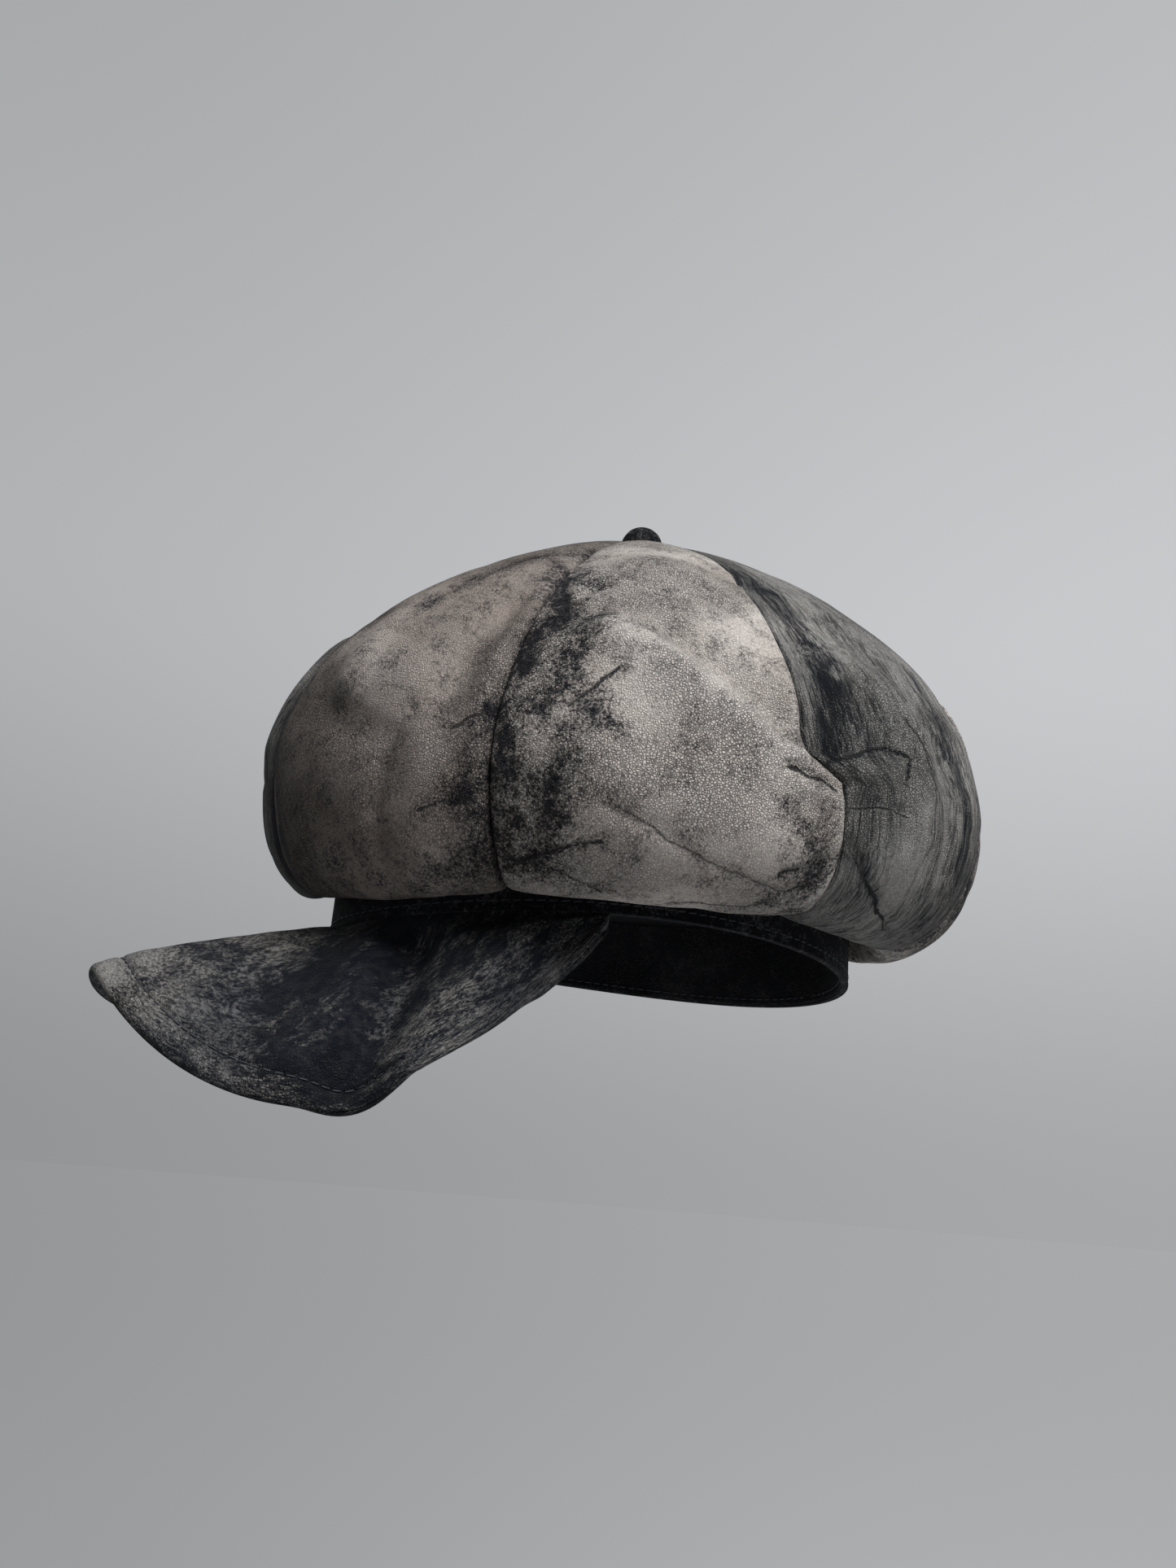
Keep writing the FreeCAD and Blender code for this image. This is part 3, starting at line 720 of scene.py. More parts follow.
def band_sheet(name, half_width, half_length, top, roll, groove, way):
    """Leather strip round the head whose lower edge is rolled and whose stitch line is sunk."""
    ring, flat = oval_ring(half_width, half_length)
    bottom = band_edge_height(ring[:, 1])
    rise = np.linspace(0, 1, 30) ** 1.25
    height = bottom[:, None] + (top - bottom)[:, None] * rise[None, :]
    above = height - bottom[:, None]
    depth = edge_roll(above, roll) + 0.3 * MM * bump(above - groove, 0.8 * MM)
    points = np.repeat(ring[:, None, :], len(rise), axis=1)
    points[..., 2] = height
    soft = 0.15 * MM * (wander(points, 60, 3) - 1) * ease(0, 6 * MM, top - height)
    run = np.linspace(0, 1, len(ring))
    ring_end = ease(0, 0.02, np.minimum(run, 1 - run))
    depth = depth - soft * ring_end[:, None]
    points = points - flat[:, None, :] * depth[..., None] * way
    piece, order = grid_piece(name, points)
    dye = 0.86 + 0.3 * wander(points, 22, 5)
    paint(piece, order, dye=dye, worn=bump(above, 1.2 * MM) * 0.25)
    return piece


def headband():
    piece = band_sheet("headband_leather", BAND_HALF_WIDTH, BAND_HALF_LENGTH, BAND_TOP,
                       BAND_ROLL, BAND_STITCH_HEIGHT, OUTWARDS)
    close_ring(piece)
    finish_piece(piece, BAND_WALL, BAND_LEATHER, "band_leather", "cap", "headband")


def strip_round_band(name, insets, heights, edge_share):
    """Narrow closed strip round the head, through places inset from the headband's outside.

    Its heights are from the origin's level, or with edge_share 1 from the band's lower edge.
    """
    ring, flat = oval_ring(BAND_HALF_WIDTH, BAND_HALF_LENGTH)
    points = ring[:, None, :] - flat[:, None, :] * insets[None, :, None]
    points[..., 2] = edge_share * band_edge_height(ring[:, 1])[:, None] + heights[None, :]
    piece, order = grid_piece(name, points)
    dye = 0.9 + 0.2 * wander(points, 40, 6)
    paint(piece, order, dye=dye, worn=np.zeros(dye.shape))
    close_ring(piece)
    return piece


def band_turned_edge():
    """Headband leather turned in under the layers of the band, up to the sweatband."""
    share = 0.5 + 0.5 * np.cos(np.linspace(0, math.pi, 16))
    reach = BAND_HALF_WIDTH - SWEATBAND_HALF_WIDTH + 0.5 * MM
    under = 0.76 * MM * (1 - (2 * share - 1) ** 2) ** 0.25
    piece = strip_round_band("headband_turned_edge", reach * share, 0.35 * MM - under, 1)
    finish_piece(piece, STRIP_WALL, BAND_LEATHER, "band_leather", "cap")


def lining_hem():
    """Lining from the gores' ends over the headband's top and down behind the sweatband."""
    insets, rises = fine_route(LINING_HEM, 4)
    piece = strip_round_band("lining_hem_cloth", insets * MM, BAND_TOP + rises * MM, 0)
    finish_piece(piece, STRIP_WALL, LINING_CLOTH, "lining_cloth", "cap")


def sweatband():
    """Soft strip that lies against the head; its front faces inwards."""
    piece = band_sheet("sweatband_leather", HEAD_HALF_WIDTH, HEAD_HALF_LENGTH, SWEATBAND_TOP,
                       SWEATBAND_ROLL, SWEATBAND_STITCH_HEIGHT, INWARDS)
    edit_whole(piece, bpy.ops.mesh.flip_normals)
    close_ring(piece)
    finish_piece(piece, SWEATBAND_WALL, SWEATBAND_LEATHER, "sweatband_leather", "cap",
                 "sweatband")


# ---- Stitching --------------------------------------------------------------------------

def one_stitch(length):
    """Plump thread end to end along X, a few dozen faces."""
    bpy.ops.object.select_all(action="DESELECT")
    bpy.ops.mesh.primitive_uv_sphere_add(segments=8, ring_count=6, radius=1,
                                         rotation=(0, math.pi / 2, 0))
    stitch = bpy.context.object
    bpy.ops.object.transform_apply(location=True, rotation=True, scale=True)
    corners = np.array([vertex.co for vertex in stitch.data.vertices])
    faces = [tuple(face.vertices) for face in stitch.data.polygons]
    bpy.data.objects.remove(stitch)
    corners[:, 0] = np.sign(corners[:, 0]) * np.abs(corners[:, 0]) ** 0.6 * length / 2
    corners[:, 1:] = corners[:, 1:] * THREAD_RADIUS
    return corners, faces


def stitch_row(name, line, normals, length):
    """Stitches end to end along a line that lies on the leather."""
    run = np.concatenate([[0], np.cumsum(np.linalg.norm(np.diff(line, axis=0), axis=1))])
    places = np.arange(length, run[-1] - length, length + STITCH_GAP)

    def at(stations, values):
        return np.stack([np.interp(stations, run, column) for column in values.T], axis=-1)

    middles = at(places, line)
    out = unit(at(places, normals))
    ahead = unit(at(places + length / 2, line) - at(places - length / 2, line))
    ahead = unit(ahead + unit(np.cross(out, ahead)) * STITCH_SLANT)
    aside = unit(np.cross(out, ahead))
    corners, faces = one_stitch(length)
    points = []
    loops = []
    for number in range(len(places)):
        base = len(points)
        turn = np.stack([ahead[number], aside[number], out[number]])
        points.extend(corners @ turn + middles[number])
        loops.extend(tuple(base + corner for corner in face) for face in faces)
    mesh = bpy.data.meshes.new(name)
    mesh.from_pydata([tuple(point) for point in points], [], loops)
    piece = bpy.data.objects.new(name, mesh)
    bpy.context.scene.collection.objects.link(piece)
    pick_only(piece)
    bpy.ops.object.shade_smooth()
    piece.data.materials.append(THREAD)
    return piece


def band_stitches(name, half_width, half_length, above, sunk, way):
    ring, flat = oval_ring(half_width, half_length, 900)
    line = ring - way * flat * sunk
    line[:, 2] = band_edge_height(ring[:, 1]) + above
    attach(stitch_row(name, line, way * flat, BAND_STITCH), "cap")


# ---- Visor ------------------------------------------------------------------------------

# The same for the visor: its creases, hollows and ridges, and then its dye, with painted shade in
# the valley and hollow and a painted highlight along the bulge's crest.
VISOR_RELIEF = [
    ([(-0.4, -0.05), (-0.53, 0.2), (-0.61, 0.48), (-0.65, 0.7), (-0.66, 0.86)], 9, -9.5),
    ([(-0.86, 0), (-0.79, 0.28), (-0.77, 0.52), (-0.77, 0.75), (-0.76, 0.9)], 10, 5.5),
    ([(-0.3, 0.35), (-0.4, 0.62)], 16, -3.5),
    ([(-0.1, 0.1), (-0.06, 0.5), (-0.04, 0.8)], 10, 1.8),
    ([(-0.62, 0.02), (-0.72, 0.06), (-0.84, 0.04)], 4, -1.4),
    ([(-0.92, 0.3), (-0.9, 0.7)], 7, -2),
    ([(0.55, 0.15), (0.64, 0.5), (0.7, 0.8)], 12, -3),
    ([(0.3, 0.3), (0.36, 0.7)], 14, 2),
]
VISOR_DYE_AND_PAINTED_LIGHT = [
    ([(-0.08, 0.99), (-0.01, 0.96), (0.12, 0.97)], 11, -1),
    ([(-0.1, 0.72), (-0.05, 0.84), (0.02, 0.9)], 8, -0.5),
    ([(-0.16, 0.98), (-0.3, 0.96)], 5, -0.22),
    # Paler streak along the bulge's crest: painted highlight.
    ([(-0.8, 0.14), (-0.76, 0.35), (-0.73, 0.55), (-0.7, 0.74)], 6, -0.34),
    ([(-0.22, 0.6), (-0.3, 0.7), (-0.45, 0.92)], 9, -0.24),
    # These three darken the valley and the hollow beside it: painted shade over the visor's navy
    # dye.
    ([(-0.42, 0.5), (-0.5, 0.64), (-0.56, 0.76)], 14, 0.55),
    ([(-0.4, 0.02), (-0.5, 0.22), (-0.57, 0.45), (-0.62, 0.7)], 9, 0.65),
    ([(-0.3, 0.25), (-0.36, 0.45)], 9, 0.15),
    ([(0.3, 0.5), (0.5, 0.8)], 14, -0.22),
]
VISOR_DYE_LEVEL = 0.90


def visor_root(share):
    angle = VISOR_HALF_SPAN * share
    x = -(BAND_HALF_WIDTH - VISOR_TUCK) * np.sin(angle)
    y = -(BAND_HALF_LENGTH - VISOR_TUCK) * np.cos(angle)
    return stacked(x, y, band_edge_height(y) - VISOR_SEAT_GAP)


def visor_rim(share):
    corner = visor_root(np.array(1.0))
    turn = share * math.pi / 2
    forward = np.maximum(np.cos(turn), 0) ** VISOR_PLAN_POWER
    reach = BAND_HALF_LENGTH + VISOR_REACH + corner[1]
    aside = np.sin(turn)
    full = math.hypot(1, VISOR_RIDGE) - VISOR_RIDGE
    ridge = (np.hypot(aside, VISOR_RIDGE) - VISOR_RIDGE) / full
    cheek = ridge * (1 - np.abs(share) ** VISOR_CHEEK_POWER)
    drop = np.where(aside < 0, VISOR_DROP_LEFT, VISOR_DROP_RIGHT)
    x = -VISOR_HALF_WIDTH * aside
    y = corner[1] - reach * forward
    z = corner[2] - (VISOR_TIP_DROP + corner[2]) * forward - drop * cheek
    return stacked(x, y, z)


def visor_points(share, across):
    root = visor_root(share)
    angle = VISOR_HALF_SPAN * share
    way = unit(stacked(-np.sin(angle), -np.cos(angle), np.full_like(angle, 2)))
    bulge = VISOR_CROWNING * np.sin(math.pi * np.clip(across, 0, 1)) * np.cos(angle)
    return root + (visor_rim(share) - root) * across[..., None] + way * bulge[..., None]


def visor_route(route):
    share, across = fine_route(route)
    return visor_points(share, across)


def visor_grid(columns, rows, margin=0.0):
    sampled = np.linspace(-VISOR_END, VISOR_END, 800)
    spread = even_stations(visor_rim(sampled), columns)
    share = VISOR_END * (2 * spread - 1)
    share = np.repeat(share[:, None], rows, axis=1)
    width = np.linalg.norm(visor_rim(share) - visor_root(share), axis=-1)
    last = 1 - np.minimum(margin / width, 0.5)
    climb = 1 - (1 - np.linspace(0, 1, rows)) ** 1.5
    across = last * climb[None, :]
    from_rim = (1 - across) * width
    return share, across, from_rim


def visor_skin(columns, rows, margin=0.0):
    """Visor's top face with its folds, and what the layers below it need."""
    share, across, from_rim = visor_grid(columns, rows, margin)
    points = visor_points(share, across)
    ragged = jitter(points, 2.5 * MM, 30, 2)
    height = strokes(ragged, VISOR_RELIEF, visor_route) * MM + 0.8 * MM * wander(points, 24, 8)
    held = ease(0, 0.16, across) * ease(1, 0.955, np.abs(share))
    shaped = points + grid_normals(points) * (height * held)[..., None]
    return share, from_rim, shaped, grid_normals(shaped)


def visor_leather(name, node, under=False):
    share, from_rim, points, normals = visor_skin(*VISOR_GRID)
    groove = VISOR_GROOVE * bump(from_rim - VISOR_STITCH_INSET, 1.0 * MM)
    hem = VISOR_HEM * bump(from_rim - VISOR_STITCH_INSET * 0.55, 3.4 * MM)
    quilt = VISOR_QUILT * wander(points, 80, 12)
    open_end = ease(0.975, 0.90, np.abs(share))
    rolled = edge_roll(from_rim, VISOR_THICKNESS / 2 - 0.1 * MM)
    sunk = rolled + (groove - hem) * open_end + quilt * (not under)
    depth = VISOR_THICKNESS - sunk if under else sunk
    piece, order = grid_piece(name, points - normals * depth[..., None])
    if under:
        edit_whole(piece, bpy.ops.mesh.flip_normals)
    ragged = jitter(points, 2.5 * MM, 120, 14)
    dye = VISOR_DYE_LEVEL + 0.22 * wander(points, 26, 16) + 0.12 * under
    # On the top, the strokes add dye, painted shade and a painted highlight.
    dye = dye + strokes(ragged, [] if under else VISOR_DYE_AND_PAINTED_LIGHT, visor_route)
    paint(piece, order, dye=dye, worn=0.35 * bump(from_rim - 4 * MM, 4 * MM) * open_end)
    finish_piece(piece, VISOR_WALL, VISOR_LEATHER, "visor_leather", "visor", node)


def visor_board():
    _, _, points, normals = visor_skin(150, 40, VISOR_BOARD_MARGIN)
    piece, _ = grid_piece("visor_stiff_board", points - normals * VISOR_BOARD_DEPTH)
    finish_piece(piece, VISOR_BOARD_WALL, VISOR_BOARD, "visor_board", "visor", "visor_board")


def visor_stitches(name, under=False):
    share, from_rim, points, normals = visor_skin(*VISOR_GRID)
    column = np.argmin(np.abs(from_rim - VISOR_STITCH_INSET), axis=1)
    used = np.flatnonzero(np.abs(share[:, 0]) < 0.93)
    line = [[np.interp(VISOR_STITCH_INSET, from_rim[row, ::-1], points[row, ::-1, k])
             for k in range(3)] for row in used]
    way = normals[used, column[used]]
    depth = VISOR_THICKNESS - VISOR_THREAD_DEPTH if under else VISOR_THREAD_DEPTH
    bend_with_visor(stitch_row(name, np.array(line) - way * depth, way, VISOR_STITCH))


# ---- Button -----------------------------------------------------------------------------

def button_cover():
    """Leather drawn over the button, gathered towards its rim."""
    sphere = (BUTTON_RADIUS ** 2 + BUTTON_RISE ** 2) / (2 * BUTTON_RISE)
    lowest = math.asin((sphere - BUTTON_RISE) / sphere)
    turn = np.linspace(0, 2 * math.pi, 129)
    climb = np.linspace(lowest, math.pi / 2 - 0.0005, 40)
    turn, climb = np.meshgrid(turn, climb, indexing="ij")
    low = ease(1.1, 0.2, climb)
    gathers = 0.22 * MM * np.sin(turn * BUTTON_GATHERS + 1.5 * np.sin(turn * 2)) * low
    from_pole = math.pi / 2 - climb
    radius = sphere - 0.1 * MM + gathers - 0.15 * MM * bump(from_pole, 0.28)
    flat = radius * np.cos(climb)
    height = radius * np.sin(climb) - (sphere - BUTTON_RISE)
    local = stacked(flat * np.cos(turn), flat * np.sin(turn), height)
    local = local @ CROWN_TURN.T + button_seat(sphere)
    piece, order = grid_piece("button_cover_leather", local)
    paint(piece, order, dye=0.75 + 0.3 * wander(local, 160, 4),
          worn=bump(from_pole, 0.5) * 0.6)
    close_ring(piece)
    finish_piece(piece, BUTTON_LEATHER, BUTTON_FINISH, "button_leather", "cap", "button_cover")


def button_seat(sphere):
    """Middle of the button's rim, on the crown's axis, from the highest point of its dome."""
    top = CROWN_MIDDLE + CROWN_UP * CROWN_RISE
    ball = (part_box("button_cover")[1].z - sphere - top[2]) / CROWN_UP[2]
    return top + CROWN_UP * (ball + sphere - BUTTON_RISE)


# ---- Finishes ---------------------------------------------------------------------------

class Wire:
    """Output of a shader node. Arithmetic on it adds the nodes that it takes."""

    def __init__(self, tree, socket):
        self.tree = tree
        self.socket = socket

    def math(self, operation, *others, clamp=False):
        values = dict(enumerate((self, *others)))
        return node(self.tree, "Math", values, operation=operation, use_clamp=clamp)[0]

    def __add__(self, other):
        return self.math("ADD", other)

    def __sub__(self, other):
        return self.math("SUBTRACT", other)

    def __mul__(self, other):
        return self.math("MULTIPLY", other)

    def __abs__(self):
        return self.math("ABSOLUTE")

    def __rsub__(self, other):
        return node(self.tree, "Math", {0: other, 1: self}, operation="SUBTRACT")[0]

    def __rtruediv__(self, other):
        return node(self.tree, "Math", {0: other, 1: self}, operation="DIVIDE")[0]


def plug(tree, made, sockets):
    """Sets or links the inputs of a node."""
    for label, value in sockets.items():
        if isinstance(value, Wire):
            tree.links.new(value.socket, made.inputs[label])
        else:
            made.inputs[label].default_value = value


def wires(tree, made):
    """Outputs of a node by number and by name."""
    found = [Wire(tree, socket) for socket in made.outputs]
    return {**dict(enumerate(found)), **{wire.socket.name: wire for wire in found}}


def node(tree, kind, sockets=None, **settings):
    made = tree.nodes.new("ShaderNode" + kind)
    for label, value in settings.items():
        setattr(made, label, value)
    plug(tree, made, sockets or {})
    return wires(tree, made)


def ramp(value, low, high, bottom=0.0, top=1.0):
    sockets = {"Value": value, "From Min": low, "From Max": high, "To Min": bottom, "To Max": top}
    return node(value.tree, "MapRange", sockets, interpolation_type="SMOOTHSTEP")[0]


def mix(share, first, second):
    return node(share.tree, "Mix", {0: share, 6: first, 7: second}, data_type="RGBA")[2]


def scaled(colour, share):
    return node(share.tree, "VectorMath", {0: colour, 3: share}, operation="SCALE")[0]


def grains(where, scale, detail=4.0, roughness=0.55, distortion=0.0):
    sockets = {"Vector": where, "Scale": scale, "Detail": detail, "Roughness": roughness,
               "Distortion": distortion}
    return node(where.tree, "TexNoise", sockets)[0]


def place_in(tree):
    return node(tree, "TexCoord")["Object"]


def own_map(tree):
    return node(tree, "UVMap", uv_map="UVMap")[0]


def new_group(name, inputs, outputs):
    """Node group that takes a vector and the numbers named, and gives numbers."""
    group = bpy.data.node_groups.new(name, "ShaderNodeTree")
    sockets = group.interface
    sockets.new_socket(name="Vector", in_out="INPUT", socket_type="NodeSocketVector")
    for label, value in inputs.items():
        socket = sockets.new_socket(name=label, in_out="INPUT", socket_type="NodeSocketFloat")
        socket.default_value = value
    for label in outputs:
        sockets.new_socket(name=label, in_out="OUTPUT", socket_type="NodeSocketFloat")
    given = wires(group, group.nodes.new("NodeGroupInput"))
    return group, given, group.nodes.new("NodeGroupOutput")


def dye_group():
    """Where the dye has taken: smoky patches, speckled edges, branching veins and fine cracks;
    the dye share also holds some painted shade and a painted highlight.
    """
    group, given, wanted = new_group(
        "ragged_dye", {"Dye": 0.5, "Blotches": 70.0, "Softness": 0.25, "Side": 1.0, "Near": 0.0,
                       "Breadth": 0.5}, ["Mask", "Crack"])
    where = given["Vector"]
    blotches = given["Blotches"]
    coarse = grains(where, blotches, 5.0, 0.62, 0.25)
    middle = grains(where, blotches * 4.3, 4.0, 0.65, 0.3)
    fine = grains(where, 1100.0, 3.0, 0.6)
    level = ramp(middle * 0.40 + coarse * 0.60, 0.33, 0.67)
    veins = grains(where, blotches * 0.9, 7.0, 0.62, 0.8)
    branch = ramp(abs(veins - 0.5), 0.022, 0.0)
    stained = branch * ramp(given["Dye"], 0.22, 0.6) * 0.30 + given["Dye"]
    slope = 0.5 / given["Softness"]
    smoke = ((stained - level) * slope).math("ADD", 0.5, clamp=True)
    speckle = ramp(fine, 0.38, 0.62, -1.0, 1.0) * (smoke * (1.0 - smoke))
    patch = speckle * 1.3 + smoke

    off = (given["Side"] - 0.5) * 2.0
    ragged = (fine - 0.5) * 0.40 + off
    breadth = given["Breadth"] * (middle - 0.25)
    crack = ramp(abs(ragged) - breadth, 0.05, -0.08) * ramp(given["Near"], 0.62, 0.80)
    depth = ramp(given["Breadth"], 0.2, 0.6, 0.45, 0.95)
    mask = patch.math("MAXIMUM", crack * depth).math("ADD", 0.0, clamp=True)
    plug(group, wanted, {"Mask": mask, "Crack": crack})
    return group


def grain_group():
    """Pebbled leather grain: rounded cells with fine valleys, and the nap over them, and painted
    shade for the valleys.
    """
    group, given, wanted = new_group("leather_grain", {"Pebbles": 1000.0, "Nap": 2600.0},
                                     ["Height", "Valley Shade"])
    where = given["Vector"]
    sockets = {"Vector": where, "Scale": given["Pebbles"], "Randomness": 1.0}
    cells = node(group, "TexVoronoi", sockets, feature="DISTANCE_TO_EDGE")["Distance"]
    pebble = ramp(cells, 0.0, 0.26)
    patchy = ramp(grains(where, 16.0, 2.0), 0.40, 0.60, 0.30, 1.0)
    nap = grains(where, given["Nap"], 3.0, 0.6)
    plug(group, wanted, {"Height": nap * 0.65 + pebble * patchy * 0.8,
                         "Valley Shade": (1.0 - pebble) * patchy})
    return group


def weave_group():
    """Over-and-under threads on a piece's own map."""
    group, given, wanted = new_group("cloth_weave", {"Across": 100.0, "Along": 200.0}, ["Height"])
    parts = node(group, "SeparateXYZ", {0: given["Vector"]})
    run = parts[0] * (given["Along"] * math.pi)
    side = parts[1] * (given["Across"] * math.pi)
    share = ramp((run + side).math("SINE"), -0.3, 0.3)
    warp = abs(run.math("SINE"))
    weft = abs(side.math("SINE"))
    plug(group, wanted, {"Height": warp * share + weft * (1.0 - share)})
    return group


def new_material(name):
    material = bpy.data.materials.new(name)
    material.use_nodes = True
    tree = material.node_tree
    return material, tree, tree.nodes["Principled BSDF"]


def bumpy(height, depth):
    return node(height.tree, "Bump", {"Height": height, "Distance": depth, "Strength": 1.0})[0]


def linear(red, green, blue):
    """Colour of a swatch given as 0-255 screen values."""
    values = [channel / 255 for channel in (red, green, blue)]
    lights = [((v + 0.055) / 1.055) ** 2.4 if v > 0.04045 else v / 12.92 for v in values]
    return (*lights, 1.0)


def along_nap(where, nap):
    """Places on the piece's own map, in metres, drawn out along the nap and a little warped."""
    sockets = {"Vector": own_map(where.tree), "Scale": (nap[0], nap[1], 1.0)}
    flow = node(where.tree, "Mapping", sockets)[0]
    warp = node(where.tree, "TexNoise", {"Vector": where, "Scale": 24.0, "Detail": 3.0})[1]
    sockets = {0: warp, 1: (0.010, 0.010, 0.010), 2: flow}
    return node(where.tree, "VectorMath", sockets, operation="MULTIPLY_ADD")[0]


def dyed_leather(name, pale, warm, dark, blotches, softness, nap=None, pebbles=1150.0):
    """Sueded leather with dark dye rubbed into it, paler where it is worn, and darker in its
    grain's valleys as painted shade.
    """
    material, tree, shader = new_material(name)
    where = place_in(tree)
    drawn = along_nap(where, nap) if nap else where
    dye, side, near, breadth, worn = (
        node(tree, "Attribute", attribute_name=label)["Fac"]
        for label in ("dye", "crack_side", "crack_near", "crack_breadth", "worn"))
    stains = node(tree, "Group", {
        "Vector": drawn, "Dye": dye, "Blotches": blotches, "Softness": softness, "Side": side,
        "Near": near, "Breadth": breadth}, node_tree=DYE_GROUP)
    sockets = {"Vector": where, "Pebbles": pebbles}
    surface = node(tree, "Group", sockets, node_tree=GRAIN_GROUP)

    cloud = ramp(grains(where, 22.0, 5.0, 0.6), 0.32, 0.68)
    fleck = ramp(grains(where, 1250.0, 4.0, 0.75), 0.34, 0.66, 0.74, 1.26)
    ground = scaled(mix(cloud, linear(*pale), linear(*warm)), fleck)
    rubbed = linear(*[min(255, value + 34) for value in pale])
    ground = mix(worn * 0.45, ground, rubbed)
    cover = ramp(grains(drawn, 420.0, 4.0, 0.7), 0.36, 0.60, 0.94, 1.0)
    stained = mix(stains["Mask"] * cover, ground, linear(*dark))
    wrinkles = grains(where, 260.0, 5.0, 0.6, 0.6)
    height = stains["Crack"] * -1.2 + (wrinkles * 0.9 + surface["Height"])
    plug(tree, shader, {
        # Base colour darkened in the grain's valleys, painted shade, and lifted a little
        # elsewhere.
        "Base Color": scaled(stained, surface["Valley Shade"] * -0.72 + 1.14),
        "Roughness": stains["Mask"] * -0.10 + 0.84, "Specular IOR Level": 0.10,
        "Sheen Weight": 0.01, "Sheen Roughness": 0.6, "Normal": bumpy(height, 0.8 * MM)})
    return material


def woven_cloth(name, colour, across, along, gloss):
    material, tree, shader = new_material(name)
    sockets = {"Vector": own_map(tree), "Across": across, "Along": along}
    weave = node(tree, "Group", sockets, node_tree=WEAVE_GROUP)["Height"]
    tone = ramp(grains(place_in(tree), 60.0), 0.3, 0.7, 0.85, 1.15)
    tone = tone * ramp(weave, 0.0, 1.0, 0.7, 1.0)
    plug(tree, shader, {"Base Color": scaled(linear(*colour)[:3], tone), "Roughness": gloss,
                        "Sheen Weight": 0.2, "Normal": bumpy(weave, 0.2 * MM)})
    return material


def coarse_fibre(name, colour, scale, roughness):
    """Board, buckram or thread: fibres that lie every way."""
    material, tree, shader = new_material(name)
    fibres = grains(place_in(tree), scale, 6.0, 0.7, 1.2)
    tone = ramp(fibres, 0.3, 0.7, 0.75, 1.2)
    plug(tree, shader, {"Base Color": scaled(linear(*colour)[:3], tone),
                        "Roughness": roughness, "Normal": bumpy(fibres, 0.2 * MM)})
    return material


def pressed_metal(name):
    material, tree, shader = new_material(name)
    marks = grains(place_in(tree), 700.0, 5.0, 0.6)
    colour = mix(ramp(marks, 0.3, 0.7), linear(120, 118, 114), linear(160, 157, 150))
    plug(tree, shader, {"Base Color": colour, "Roughness": ramp(marks, 0.3, 0.7, 0.32, 0.5),
                        "Metallic": 1.0, "Normal": bumpy(marks, 0.05 * MM)})
    return material


DYE_GROUP = dye_group()
GRAIN_GROUP = grain_group()
WEAVE_GROUP = weave_group()

NAVY_BLACK = (17, 20, 27)
# Hides of the crown: pale, warm and dark colour, blotches for each metre, softness and nap.
TAUPE_HIDE = ((192, 186, 180), (178, 170, 163), NAVY_BLACK, 95.0, 0.55)
# The front-left panel's darker, browner hide is painted shade: the taupe hide dimmed for the side
# that turns from the light.
PAINTED_SHADE_HIDE = ((151, 143, 137), (136, 127, 120), NAVY_BLACK, 95.0, 0.60)
STREAKY_HIDE = ((146, 144, 140), (122, 121, 119), NAVY_BLACK, 80.0, 0.62, CROWN_NAP)
HIDES = {"front_left": PAINTED_SHADE_HIDE, "left_back": STREAKY_HIDE, "right_back": STREAKY_HIDE,
         "front_right": STREAKY_HIDE}

CROWN_LEATHER = {place: dyed_leather("crown_leather_" + place, *HIDES.get(place, TAUPE_HIDE))
                 for place in PANEL_PLACES}
BAND_LEATHER = dyed_leather("band_leather", (104, 104, 104), (86, 88, 92), (14, 16, 23),
                            170.0, 0.4)
VISOR_LEATHER = dyed_leather("visor_leather", (150, 147, 142), (100, 100, 102), (13, 17, 26),
                             78.0, 0.72, VISOR_NAP, 900.0)
BUTTON_FINISH = dyed_leather("button_leather", (112, 111, 108), (92, 92, 92), (20, 23, 30),
                             300.0, 0.4)
SWEATBAND_LEATHER = dyed_leather("sweatband_leather", (58, 56, 56), (46, 45, 47), (26, 27, 31),
                                 90.0, 0.5, None, 700.0)
LINING_CLOTH = woven_cloth("lining_cloth", (36, 37, 42), 150.0, 420.0, 0.42)
BUCKRAM = coarse_fibre("buckram", (176, 168, 150), 900.0, 0.85)
VISOR_BOARD = coarse_fibre("visor_board", (66, 66, 68), 500.0, 0.8)
THREAD = coarse_fibre("sewing_thread", (40, 43, 50), 3000.0, 0.6)
PATCH_LEATHER = coarse_fibre("patch_leather", (74, 68, 62), 1200.0, 0.75)
BUTTON_METAL = pressed_metal("button_metal")


# ---- Build the cap ----------------------------------------------------------------------

for number in range(len(PANEL_PLACES)):
    crown_panel(number)
for number in range(len(PANEL_PLACES)):
    lining_gore(number)
headband()
band_turned_edge()
lining_hem()
sweatband()
band_stitches("headband_stitches", BAND_HALF_WIDTH, BAND_HALF_LENGTH, BAND_STITCH_HEIGHT,
              0.2 * MM, OUTWARDS)
band_stitches("sweatband_stitches", HEAD_HALF_WIDTH, HEAD_HALF_LENGTH, SWEATBAND_STITCH_HEIGHT,
              0.1 * MM, INWARDS)
visor_leather("visor_top_leather", "visor_top")
visor_leather("visor_under_leather", "visor_under", under=True)
visor_board()
visor_stitches("visor_top_stitches")
visor_stitches("visor_under_stitches", under=True)
button_cover()
for name, material in [("band_stiffener", BUCKRAM), ("button_shell", BUTTON_METAL),
                       ("button_back", BUTTON_METAL), ("button_thread", THREAD),
                       ("apex_patch", PATCH_LEATHER)]:
    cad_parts[name].data.materials.clear()
    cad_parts[name].data.materials.append(material)


# ---- Floor, light and camera ------------------------------------------------------------

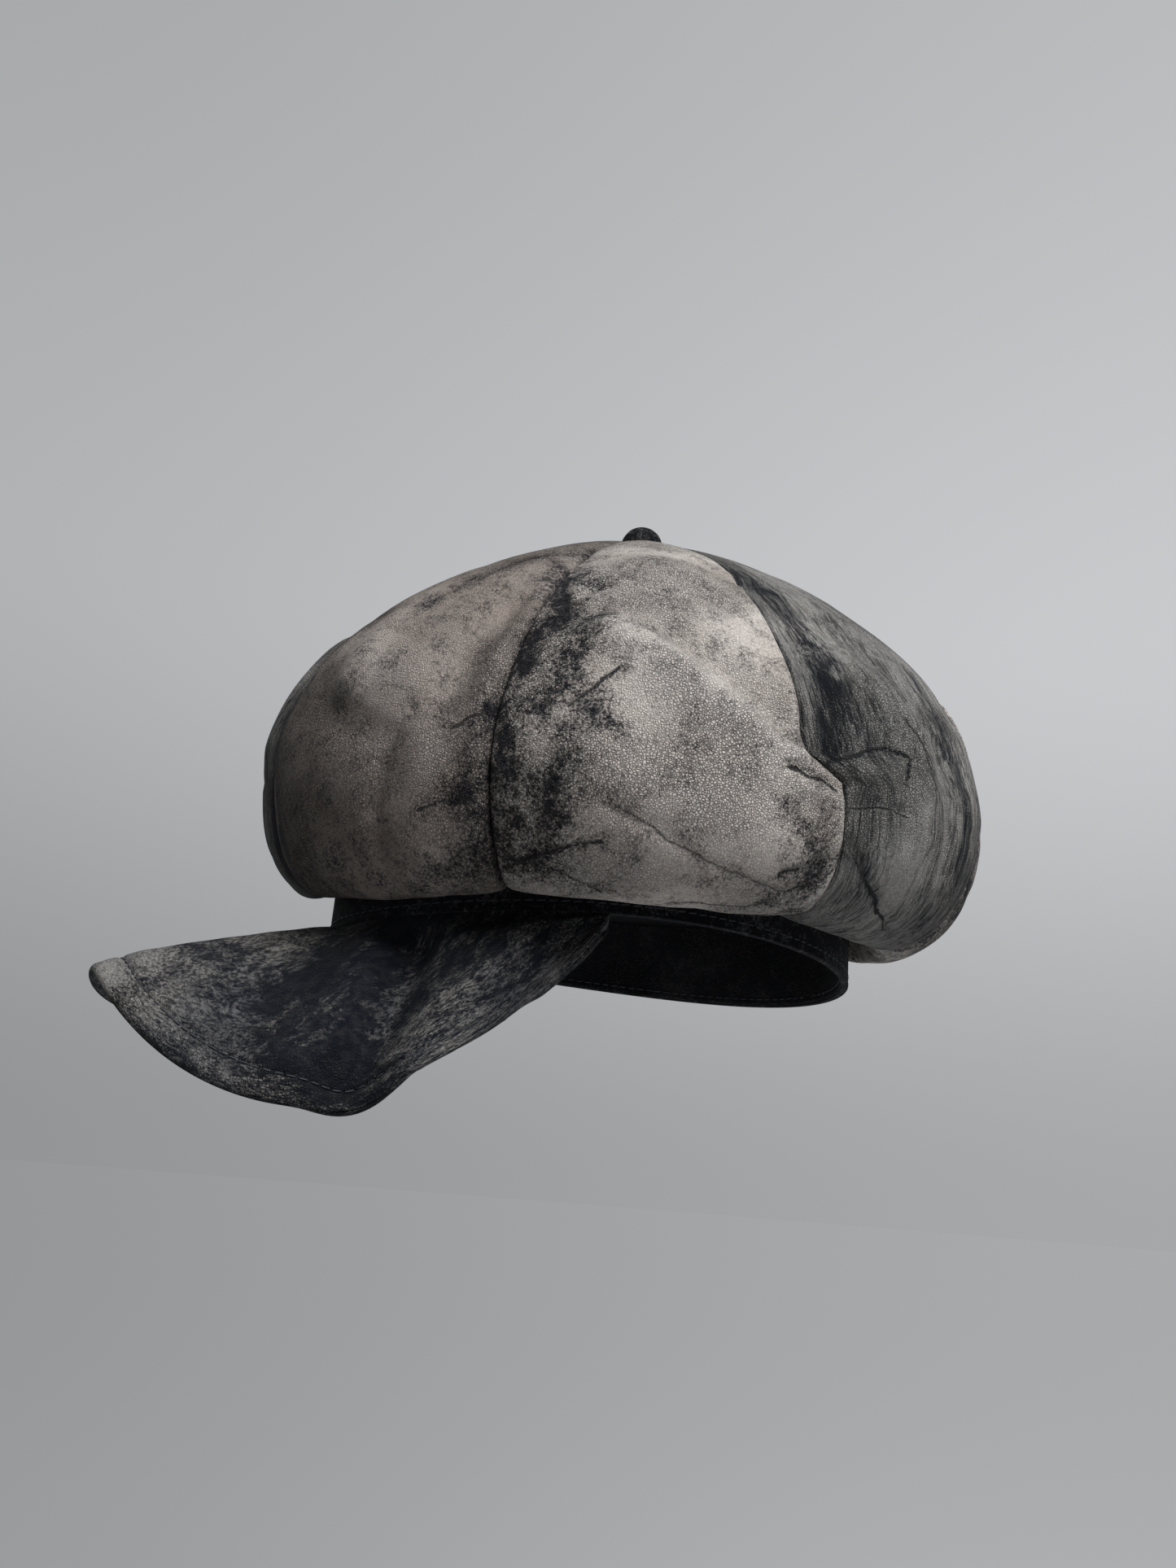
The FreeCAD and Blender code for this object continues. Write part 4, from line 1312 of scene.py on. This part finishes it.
FLOOR_HEIGHT = -0.60
STUDIO_GREY = (0.53, 0.54, 0.555)
FLOOR_GREY = (0.60, 0.61, 0.62, 1.0)
SKY_LIGHT = (0.92, 0.96, 1.0, 1.0)
PALE_WAY = (0.40, 0.91, 0.08)
HORIZON_SHARE = 0.66
FLOOR_GLOW = 0.75
AMBIENT = 0.07
KEY_WAY = Vector((0.76, 0.05, 0.65)).normalized()
BOUNCE_WAY = Vector((-0.6, -0.5, 0.45)).normalized()
CAP_MIDDLE = Vector((0.0, 0.0, 0.06))
CAMERA_LENS = 29.74
CAMERA_PLACE = Vector((0.4604, -0.2344, -0.0909))
CAMERA_RIGHT = Vector((0.4582, 0.8857, 0.075))
CAMERA_BACK = Vector((0.8574, -0.4182, -0.300))


def seen_share(tree):
    """1 for rays that meet the pale studio itself: from the camera, mirrors and glass."""
    path = node(tree, "LightPath")
    glossy = path["Is Glossy Ray"].math("MAXIMUM", path["Is Transmission Ray"])
    return path["Is Camera Ray"].math("MAXIMUM", glossy)


def studio_tone(way, floor_only=False):
    """Grey of the studio: paler towards the window, dimmer down at the horizon."""
    sockets = {0: way, 1: PALE_WAY}
    aside = node(way.tree, "VectorMath", sockets, operation="DOT_PRODUCT")["Value"]
    tone = ramp(aside, -0.6, 0.55, 0.80, 1.10)
    if floor_only:
        return scaled(STUDIO_GREY, tone * HORIZON_SHARE)
    height = node(way.tree, "SeparateXYZ", {0: way})["Z"]
    tone = tone * ramp(height, 0.0, 0.42, HORIZON_SHARE, 1.0)
    return scaled(STUDIO_GREY, tone * ramp(height, 0.35, 0.9, 1.0, 0.80))


def studio_world():
    world = bpy.data.worlds.new("studio")
    world.use_nodes = True
    bpy.context.scene.world = world
    tree = world.node_tree
    tree.nodes.clear()
    way = node(tree, "TexCoord")["Generated"]
    shown = node(tree, "Background", {"Color": studio_tone(way), "Strength": 1.0})[0]
    lit = node(tree, "Background", {"Color": SKY_LIGHT, "Strength": AMBIENT})[0]
    both = node(tree, "MixShader", {0: seen_share(tree), 1: lit, 2: shown})[0]
    node(tree, "OutputWorld", {0: both})


def studio_floor():
    bpy.ops.object.select_all(action="DESELECT")
    bpy.ops.mesh.primitive_circle_add(vertices=96, radius=60, fill_type="NGON",
                                      location=(0, 0, FLOOR_HEIGHT))
    floor = bpy.context.object
    floor.name = "floor"
    material, tree, shader = new_material("floor_grey")
    plug(tree, shader, {"Base Color": FLOOR_GREY, "Roughness": 0.95})
    way = node(tree, "VectorMath", {0: place_in(tree)}, operation="NORMALIZE")[0]
    strength = (1 - (1 - FLOOR_GLOW) * 0.1) / FLOOR_GLOW
    glow = node(tree, "Emission", {"Color": studio_tone(way, True), "Strength": strength})[0]
    share = seen_share(tree) * FLOOR_GLOW
    both = node(tree, "MixShader", {0: share, 1: wires(tree, shader)[0], 2: glow})[0]
    plug(tree, tree.nodes["Material Output"], {0: both})
    floor.data.materials.append(material)


def soft_lamp(name, way, distance, across, power):
    data = bpy.data.lights.new(name, "AREA")
    data.shape = "DISK"
    data.size = across
    data.energy = power
    lamp = bpy.data.objects.new(name, data)
    bpy.context.scene.collection.objects.link(lamp)
    lamp.location = CAP_MIDDLE + way * distance
    lamp.rotation_mode = "QUATERNION"
    lamp.rotation_quaternion = (-way).to_track_quat("-Z", "Y")
    lamp.visible_camera = False


def studio_camera():
    data = bpy.data.cameras.new("camera")
    data.sensor_width = 36
    data.lens = CAMERA_LENS
    camera = bpy.data.objects.new("camera", data)
    bpy.context.scene.collection.objects.link(camera)
    back = CAMERA_BACK.normalized()
    up = back.cross(CAMERA_RIGHT).normalized()
    turn = Matrix((up.cross(back), up, back)).transposed()
    camera.matrix_world = Matrix.Translation(CAMERA_PLACE) @ turn.to_4x4()
    bpy.context.scene.camera = camera


studio_world()
studio_floor()
soft_lamp("window", KEY_WAY, distance=1.7, across=1.2, power=44)
soft_lamp("bounce", BOUNCE_WAY, distance=2.2, across=2.2, power=0.5)
studio_camera()
bpy.context.scene.view_settings.view_transform = "Standard"
